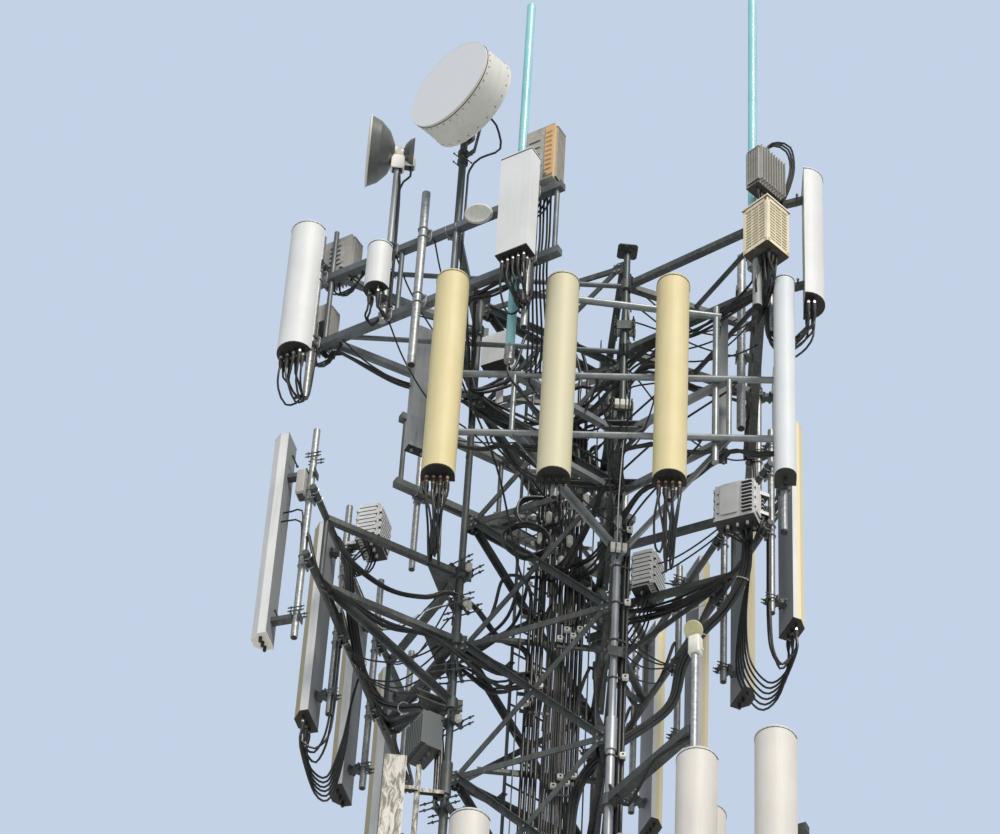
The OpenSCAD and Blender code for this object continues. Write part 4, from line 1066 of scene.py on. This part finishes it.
# %% Cabinet frame and its cables
CABINET, TURN = TOP + 120, TOP + 75  # the frame it hangs on, and the way it looks
cabinet = spot(CABINET, -1.90, 1.75, 29.15)
frame_bars, screens = [], []
for turn in (TURN + 90 * n for n in range(4)):
    outer = cabinet + toward(turn) * 0.1445
    for dx in (-0.128, 0.128):
        frame_bars.append(plate(outer + toward(turn + 90) * dx + up * 0.30, turn, 0.030, 0.595, 0.010))
    for dz in (0.022, 0.575):
        frame_bars.append(plate(outer + up * dz, turn, 0.285, 0.044, 0.010))
    for dx in (-0.042, 0.042):
        frame_bars.append(plate(outer + toward(turn + 90) * dx + up * 0.30, turn, 0.008, 0.51, 0.006, 0.001))
    for n in range(13):
        screens.append(plate(cabinet + toward(turn) * 0.1415 + up * (0.068 + 0.040 * n), turn,
                             0.225, 0.012, 0.010, level=True))
piece("cabinet_frame", "beige_enamel", frame_bars)
piece("cabinet_screens", "old_enamel_louvre", screens)

cabinet_cables, cabinet_plugs = [], []
for n in range(12):
    hook = cabinet + toward(TURN) * (0.05 * (n % 4) - 0.075) + toward(TURN + 90) * (0.05 * (n // 4) - 0.05)
    if (hook - spot(CABINET, -1.85, 1.672, 29.15)).length < 0.06:
        continue
    cabinet_plugs.append(turned(hook + up * 0.004, down, [(0.018, 0), (0.018, 0.03), (0.022, 0.032),
                                                          (0.020, 0.08), (0.012, 0.13)], 10))
    sway = Vector((dice.uniform(-0.05, 0.05), dice.uniform(-0.04, 0.04), 0))
    cabinet_cables.append(cord(
        0.010, CABINET, hook - up * 0.11, hook - up * 0.22 + sway * 0.4, hook - up * 0.42 + sway,
        (-1.70 + 0.012 * n, 1.70, 28.62), (-1.60 + 0.01 * n, 1.68, 28.80), (-1.50 + 0.004 * n, 1.69, 29.05)))
for n in range(3):
    start = spot(CABINET, -1.875, 1.75, 30.54) + toward(TURN) * (0.04 * n - 0.05)
    cabinet_plugs.append(turned(start, up, [(0.017, 0), (0.017, 0.045), (0.010, 0.07)], 10))
    cabinet_cables.append(cord(
        0.010, CABINET, start + up * 0.04, start + up * (0.12 + 0.02 * n),
        (-1.87, 1.82 + 0.02 * n, 30.74 + 0.025 * n), (-1.84, 1.94 + 0.02 * n, 30.70 + 0.03 * n),
        (-1.80, 1.98 + 0.018 * n, 30.52),
        (-1.78, 1.94 + 0.016 * n, 30.25), (-1.74, 1.88, 29.95), (-1.715, 1.845, 29.6), (-1.71, 1.84, 29.15)))
piece("cabinet_plugs", "black_rubber", cabinet_plugs)
piece("cabinet_cables", "black_polyethylene", cabinet_cables)

# %% [markdown]
# On the right frame a thick bundle comes down from the unit, follows the lower rail's arm to the
# leg and turns down it. Big loops join it from the outer panel. The left frame has the same kind of
# bundle along its lower arm and a slack one from its upper rail across the leg.

# %% Thick bundles and big loops


def bundle(points, count, spread, radius):
    """Cables laid side by side along a route, each a little off its neighbours."""
    paths = []
    for t in around(count):
        shift = Vector((math.cos(t) * spread, math.sin(t) * spread, math.sin(t * 2) * spread * 0.35))
        paths.append(cord(radius, None, *[p + shift * (1 + dice.uniform(-0.2, 0.2)) for p in points]))
    return paths


thick = bundle(course(
    RIGHT, (-0.86, 1.44, 27.36), (-0.80, 1.46, 27.12), (-0.74, 1.45, 26.85), (-0.66, 1.30, 26.45),
    (-0.60, 1.12, 26.15), (-0.50, 0.98, 25.80), (-0.42, 0.88, 25.3), by_axis(0.42, -0.24, 24.6),
    by_axis(0.20, -0.285, 24.1), by_axis(0.16, -0.280, 23.3), by_axis(0.15, -0.238, 22.4)), 8, 0.033, 0.015)
for n in range(6):
    x = MIDDLE_X[0] + 0.08 * (n % 3 - 1)
    thick.append(cord(
        0.010, RIGHT, (x, 1.80, 26.00), (x, 1.80, 25.86 - 0.02 * n),
        (-0.90 + 0.03 * n, 1.78, 25.70 - 0.035 * n), (-0.66 + 0.04 * n, 1.74, 25.78 - 0.03 * n),
        (-0.42 + 0.05 * n, 1.68, 26.22),
        (-0.50 + 0.03 * n, 1.60, 26.62), (-0.78, 1.50, 26.98), (-0.84, 1.46, 27.2)))
thick += bundle(course(
    LEFT, (0.74, 1.73, 26.72), (0.60, 1.72, 26.30), (0.30, 1.70, 25.93), (0.02, 1.69, 25.90),
    (-0.10, 1.60, 25.80), (0.05, 1.35, 25.55), (0.20, 1.08, 25.35), (0.29, 0.92, 24.9),
    (0.305, 0.893, 24.2)), 7, 0.028, 0.015)
thick += bundle(course(
    LEFT, (1.10, 1.73, 26.72), (1.00, 1.60, 26.48), (0.72, 1.34, 26.36), (0.45, 1.08, 26.46),
    (0.36, 0.90, 26.56), (0.25, 0.70, 26.45), by_axis(-0.50, 0.12, 26.2), by_axis(-0.27, -0.06, 25.9),
    by_axis(-0.20, -0.165, 25.4)), 5, 0.018, 0.011)
for n in range(6):
    x = LEFT_X[2] + 0.08 * (n % 3 - 1)
    thick.append(cord(
        0.010, LEFT, (x, 2.036, 24.94), (x, 2.036, 24.80 - 0.02 * n),
        (0.46 - 0.03 * n, 2.00, 24.62 - 0.03 * n), (0.22 - 0.03 * n, 1.94, 24.72 - 0.02 * n),
        (0.10 - 0.02 * n, 1.88, 25.2), (0.12, 1.82, 25.62),
        (0.16, 1.76, 25.88)))
piece("thick_bundles", "black_polyethylene", thick)

# %% [markdown]
# Spare cable is coiled and tied to the bracing, and a thinner third run climbs between the two main
# ones. Slack cables join legs and rails all over, and a few white ropes were left by the riggers.

# %% Coils, thin cables and slack lines
coil = []
for n in range(4 * 16 + 1):
    t, radius = 2 * math.pi * n / 16, 0.21 + 0.012 * math.sin(n * 1.7)
    coil.append(by_axis(-0.33 + radius * math.cos(t), -0.30 - 0.017 * n / 16,
                        26.98 + radius * 0.95 * math.sin(t)))
extra = []
for shift, count, radius in ((Vector((0, 0, 0)), 65, 0.014), (Vector((0.10, 0.05, 0.42)), 49, 0.012)):
    turns = [p + shift for p in coil[:count]]
    tail = [by_axis(-0.16, -0.262, z) + shift * 0.5 for z in (26.95, 26.6, 26.2)]
    lead = [by_axis(-0.22, -0.262, z) + shift * 0.5 for z in (26.1, 26.5, 26.85)]
    extra.append(cord(radius, None, *lead, *turns[2:-2:2], *tail, gap=0.03))
for n in range(9):
    x = -0.095 + 0.022 * n
    stop = 26.0 + 0.27 * ((n * 4) % 9)
    way_x = dice.uniform(-0.02, 0.02)
    target = spot(FRONT, -0.9 + 0.3 * n, 1.40, 27.22 if n % 2 else 27.97)
    extra.append(cord(
        0.010, None, by_axis(0.03 + 0.018 * n, -0.25, 2.4), by_axis(x + way_x, -0.235, 12.0),
        by_axis(x - way_x, -0.24, 20.0), by_axis(x, -0.24, 24.0), by_axis(x + way_x, -0.25, stop),
        by_axis(x * 0.7 + (target - AXIS).x * 0.3, -0.42, stop + 0.5),
        by_axis(x, -0.3, stop) * 0.4 + target * 0.6 + up * 0.1, target - up * 0.05, target + up * 0.01,
        gap=0.12))
piece("coils_and_thin_cables", "black_polyethylene", extra)

slack = []
for face, k, x0 in ((TOP, 0, -1.7), (TOP + 120, 1, -1.7), (TOP + 240, 2, -1.7), (FRONT, 1, -1.0),
                    (RIGHT, 2, -1.0), (LEFT, 0, -1.4), (LOW, 0, -1.3), (LOW + 120, 1, -1.3)):
    out, _, *heights = FRAMES[face % 120]
    for n in range(7):
        z = heights[n % 2]
        start = spot(face, x0 + dice.uniform(0.1, 2.4), out, z - 0.035)
        end = leg(k, z - 0.25 * (n % 3)) + toward(face) * 0.05
        sag = up * -dice.uniform(0.10, 0.34)
        slack.append(cord(0.008, None, start, start * 0.8 + end * 0.2 + sag * 0.7, (start + end) / 2 + sag,
                          start * 0.25 + end * 0.75 + sag * 0.6, end, end - up * 0.35))
piece("slack_cables", "black_polyethylene", slack)
piece("end_panel_cables", "black_polyethylene", [
    cord(0.008, LEFT, (1.57 + dx, 2.065, z), (1.60 + dx, 1.97, z - 0.03), (1.60, 1.88, z - 0.02),
         (1.57, 1.868, z - 0.30), (1.57, 1.867, z - 0.5)) for dx, z in ((0.02, 26.62), (0.05, 26.48))])
piece("tie_ropes", "white_nylon", [cord(0.0045, *route, sides=6) for route in (
    (LEFT, (0.64, 1.745, 26.78), (0.63, 1.58, 26.32), (0.63, 1.40, 25.98), (0.60, 1.22, 26.05),
     (0.52, 1.00, 26.24), (0.36, 0.87, 26.42)),
    (LEFT, (0.95, 1.745, 26.78), (0.90, 1.74, 26.2), (0.86, 1.76, 25.99)),
    (RIGHT, (0.34, 0.89, 27.22), (0.10, 1.20, 27.04), (0.02, 1.51, 27.24)),
    (FRONT, (0.55, 1.40, 27.22), (0.52, 1.1, 26.8), (0.515, 0.775, 26.6)))])

# %% [markdown]
# Small pale things stand out against the black cables: surge arrestors in line with the feeders,
# and white ties and tape bands round the cables. Six cables hang straight down from the tall unit
# beside the box antenna and reach the rail of the front frame.

# %% Surge arrestors, ties and hanging cables
arrestors, bands = [], []
for n in range(9):
    foot = by_axis(-0.27 + 0.065 * n, -0.272, 26.75 + 0.27 * ((n * 5) % 4))
    arrestors.append(turned(foot, up, [(0.013, 0), (0.014, 0.012), (0.029, 0.016), (0.029, 0.115),
                                       (0.014, 0.119), (0.013, 0.135)], 16))
    bands += [stub(foot + up * dz + north * 0.045, up, 0.0185, 0.022, 12) for dz in (-0.20, 0.30, 0.62)]
for face, *place in ((RIGHT, -0.74, 1.45, 26.85), (RIGHT, -0.60, 1.12, 26.15), (LEFT, 0.30, 1.70, 25.93),
                     (LEFT, 0.05, 1.35, 25.55)):
    u, v = basis(toward(face + 90) * 0.6 - up * 0.8)
    hoop = [spot(face, *place) + (u * math.cos(t) + v * math.sin(t)) * 0.054 for t in around(10)]
    bands += [tube([p, q], 0.005, 6) for p, q in zip(hoop, hoop[1:] + hoop[:1])]
piece("surge_arrestors", "pale_abs_box", arrestors)
piece("tape_bands", "white_nylon", bands)
hanging = []
for n in range(6):
    x, end_x = 0.52 + 0.036 * n, -0.33 + 0.04 * n
    hanging.append(cord(
        0.010, TOP, (x, 1.64, 30.16), (x, 1.64, 29.95), (x, 1.62 + 0.01 * (n % 2), 29.5),
        (x - 0.02, 1.61, 29.0), spot(FRONT, end_x, 1.52, 28.45), spot(FRONT, end_x, 1.475, 28.15),
        spot(FRONT, end_x, 1.462, 27.99)))
piece("hanging_cables", "black_polyethylene", hanging)

# %% [markdown]
# Flat shoes join each pair of arms at its leg, and a square plate closes the top of every leg.

# %% Shoes and leg caps
LEG_OUT = 0.8799  # from the axis to a leg, where the tower is straight
shoes, cap_plates = [], []
for face, k, reach, *lower_arm in ((FRONT, 1, 0.24), (RIGHT, 2, 0.26), (LEFT, 0, 0.34, 25.24)):
    out, _, *heights = FRAMES[face % 120]
    at_leg = AXIS + toward(180 + 120 * k) * LEG_OUT
    leg_x = (at_leg - AXIS).dot(toward(face + 90))
    for z in heights + lower_arm:
        centre = at_leg + up * z
        one, two = [(spot(face, leg_x + s * 0.95, out, z) - centre).normalized() for s in (-1, 1)]
        corners = [(c.x, c.y) for c in (one * 0.06, one * reach, two * reach, two * 0.06)]
        shoes += [slab(centre + up * dz, east, north, corners, 0.012) for dz in (-0.038, 0.038)]
for k in range(3):
    top = leg(k, 30.49) + up * 0.006
    cap_plates.append(plate(top, -90, 0.19, 0.19, 0.014, 0.003, level=True))
    cap_plates += [stub(top + Vector((x, y, 0.006)), up, 0.014, 0.011)
                   for x in (-0.07, 0.07) for y in (-0.07, 0.07)]
piece("arm_shoes", "dull_galvanised_steel", shoes)
piece("leg_cap_plates", "dull_galvanised_steel", cap_plates)

# %% [markdown]
# A few odd devices are left: an oval white one by the dish mast, a grey oblong one on the left end
# pipe, and the small round sensor on the tall pipe at the right, which is dished and looks down.

# %% Odd devices
oval_seat = spot(TOP, 0.02, 1.77, 30.0)
look = (toward(TOP + 20) - up * 0.75).normalized()
wide_way = look.cross(up).normalized() * 0.135
high_way = wide_way.normalized().cross(look) * 0.095
bulge = ((0.02, 0.55), (0.03, 0.9), (0.05, 1.0), (0.075, 0.97), (0.09, 0.86), (0.085, 0.72), (0.075, 0.4),
         (0.074, 0.05))
oval = loft([[oval_seat + look * h + (wide_way * math.cos(t) + high_way * math.sin(t)) * share
              for t in around(28)] for h, share in bulge])
piece("oval_device", "white_nylon",
      [plate(oval_seat + toward(TOP) * 0.02, TOP, 0.07, 0.07, 0.05, 0.004), oval])
piece("oblong_device", "grey_powder_coat", [
    plate(spot(LEFT, 1.60, 1.905, 26.92), LEFT, 0.13, 0.30, 0.075, 0.01),
    *[plate(spot(LEFT, 1.585, 1.872, z), LEFT, 0.10, 0.05, 0.012) for z in (26.99, 26.83)]])
pipe_top = spot(LOW, 1.76, 1.009, 24.46)
look = (Vector((-0.45, -0.62, 0.0)) - up * 0.80).normalized()
disc = pipe_top + up * 0.285 + look * 0.045
sensor = [turned(disc, look, [(0.034, -0.03), (0.076, -0.012), (0.084, 0.0), (0.084, 0.012), (0.078, 0.016),
                              (0.072, 0.011), (0.026, 0.008), (0.022, 0.016), (0.001, 0.018)], 32)]
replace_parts(piece("disc_sensor_detailed", "pale_abs", sensor), "disc_sensor")
piece("sensor_box", "pale_abs_box", [
    plate(pipe_top + up * 0.095, LOW, 0.10, 0.09, 0.19, 0.006, level=True),
    stub(pipe_top + up * 0.18, up, 0.016, 0.08, 12),
    plate(disc - look * 0.045 - up * 0.03, LOW, 0.03, 0.12, 0.03, 0.003),
    turned(pipe_top + Vector((0.052, -0.02, 0.05)), toward(-40), [(0.012, 0), (0.010, 0.012)], 8)])

# %% [markdown]
# The larger of the two small dishes has a thin cover with a light rim on its mouth. Collars and a
# strut steady the shrouded dish. Each whip stands in a metal ferrule whose cable goes to a leg, and
# a plugged pipe end shows below the tall antenna.

# %% Dish cover, strut, whip feet and pipe end
BOWL = 0.69
half_bowl = BOWL / 2
cover = turned(small + west * (0.04 + BOWL * 0.36), west, [
    (half_bowl - 0.004, -0.012), (half_bowl + 0.005, -0.010), (half_bowl + 0.005, 0.003),
    (half_bowl * 0.97, 0.008), (half_bowl * 0.6, 0.015), (0.002, 0.018)], 56)
piece("dish_cover", "painted_spun_aluminium", [cover])
mast = spot(TOP, *MAST, 0)
strut = []
for z in (31.02, 31.14):
    strut.append(stub(mast + up * z, up, 0.052, 0.05, 20))
    for t in (-1, 1):
        strut.append(turned(mast + up * (z + 0.025) + s * 0.058 * t - o * 0.062, o,
                            [(0.011, 0), (0.011, 0.008), (0.006, 0.008), (0.006, 0.124), (0.011, 0.124),
                             (0.011, 0.132)], 6))
strut += [plate(mast + up * 31.10 + s * 0.10, DRUM, 0.12, 0.05, 0.02),
          tube([mast + up * 31.10 + s * 0.15, seat + o * 0.13 - up * 0.24 + s * 0.04], 0.014, 10),
          plate(mast + up * 31.45 - o * 0.05, DRUM, 0.16, 0.18, 0.03, 0.004)]
piece("drum_strut", "dull_galvanised_steel", strut)

ferrules, whip_cables = [], []
for face, x, z in ((TOP, 0.360, 28.0), (TOP + 120, -1.553, 29.4)):
    foot = spot(face, x, 1.642, z)
    ferrules.append(turned(foot - up * 0.035, up, [(0.020, -0.03), (0.020, 0.0), (0.047, 0.006),
                                                   (0.047, 0.17), (0.0455, 0.20)], 24))
    ferrules += [stub(foot + up * dz, up, 0.050, 0.014, 24) for dz in (0.03, 0.145)]
    goal = leg(1, z - 0.55) + toward(face) * 0.06
    whip_cables.append(cord(
        0.011, None, foot - up * 0.05, foot - up * 0.20, foot * 0.8 + goal * 0.2 - up * 0.26,
        foot * 0.4 + goal * 0.6 - up * 0.20, goal, goal - up * 0.4))
piece("whip_ferrules", "stainless_steel", ferrules)
piece("whip_cables", "black_polyethylene", whip_cables)
tail = spot(FRONT, 1.94, 1.488, 26.04)
piece("pipe_end", "bright_galvanised_steel", [stub(tail, up, 0.0302, 0.44, 20)])
piece("pipe_end_plug", "black_rubber",
      [turned(tail, down, [(0.0308, -0.02), (0.0308, 0.004), (0.024, 0.008)], 20)])

# %% [markdown]
# At the ground each leg is earthed: a copper cable goes down it and out over the base plate. Two
# small clamps hold the cable to the leg.

# %% Earthing at the base
earths = []
for k in range(3):
    foot, turn = leg(k, 0), 215 + 120 * k
    earths.append(cord(0.007, None, *[foot + toward(turn) * out + up * z for out, z in (
        (0.072, 0.62), (0.085, 0.42), (0.15, 0.12), (0.19, 0.045), (0.205, 0.040))]))
    earths += [plate(foot + toward(turn) * 0.070 + up * z, turn, 0.05, 0.025, 0.03, 0.003)
               for z in (0.55, 0.60)]
piece("earth_cables", "tarnished_copper", earths)

# %% [markdown]
# The world is a plain pale sky and gives most of the light from all round. One large soft sun from
# the front gives form. The floor is pale concrete and throws light back up at the undersides.

# %% Floor, sky and sun
weathered("pale_concrete", "#d8d8d4 #cfcfca #c4c4be", 2400, 0.85, 12, 1.0, soiled=0.3)
FLOOR_HALF, SUN_TURN, SUN_RISE = 90, 288, 1.05  # metres, degrees, rise for one metre outward
floor_mesh = bpy.data.meshes.new("floor")
corners = ((-1, -1), (1, -1), (1, 1), (-1, 1))
floor_mesh.from_pydata([(x * FLOOR_HALF, y * FLOOR_HALF, -0.002) for x, y in corners], [], [(0, 1, 2, 3)])
floor_mesh.materials.append(finishes["pale_concrete"])
floor = bpy.data.objects.new("floor", floor_mesh)
bpy.context.scene.collection.objects.link(floor)

sky = bpy.data.worlds.new("pale_sky")
bpy.context.scene.world = sky
sky.use_nodes = True
light = sky.node_tree.nodes["Background"]
light.inputs["Color"].default_value = linear("#e6ebf2")
light.inputs["Strength"].default_value = 0.62
seen = add(sky, "Background", {"Color": linear("#c3d2e6"), "Strength": 1.0})
rays = sky.node_tree.nodes.new("ShaderNodeLightPath")
mirror = add(sky, "Math", {0: rays.outputs["Is Camera Ray"], 1: rays.outputs["Is Transmission Ray"]},
             operation="MAXIMUM")
both = add(sky, "MixShader", {0: mirror, 1: light.outputs[0], 2: seen})
sky.node_tree.links.new(both, sky.node_tree.nodes["World Output"].inputs["Surface"])

sun = bpy.data.objects.new("sun", bpy.data.lights.new("sun", "SUN"))
sun.data.energy = 2.9
sun.data.angle = math.radians(20)
sun.data.color = linear("#fff6e6")[:3]
sun.rotation_euler = (-toward(SUN_TURN) - up * SUN_RISE).to_track_quat("-Z", "Y").to_euler()
bpy.context.scene.collection.objects.link(sun)
print("sun from azimuth", SUN_TURN)

# %% Finish
bpy.context.scene.view_settings.view_transform = "Standard"
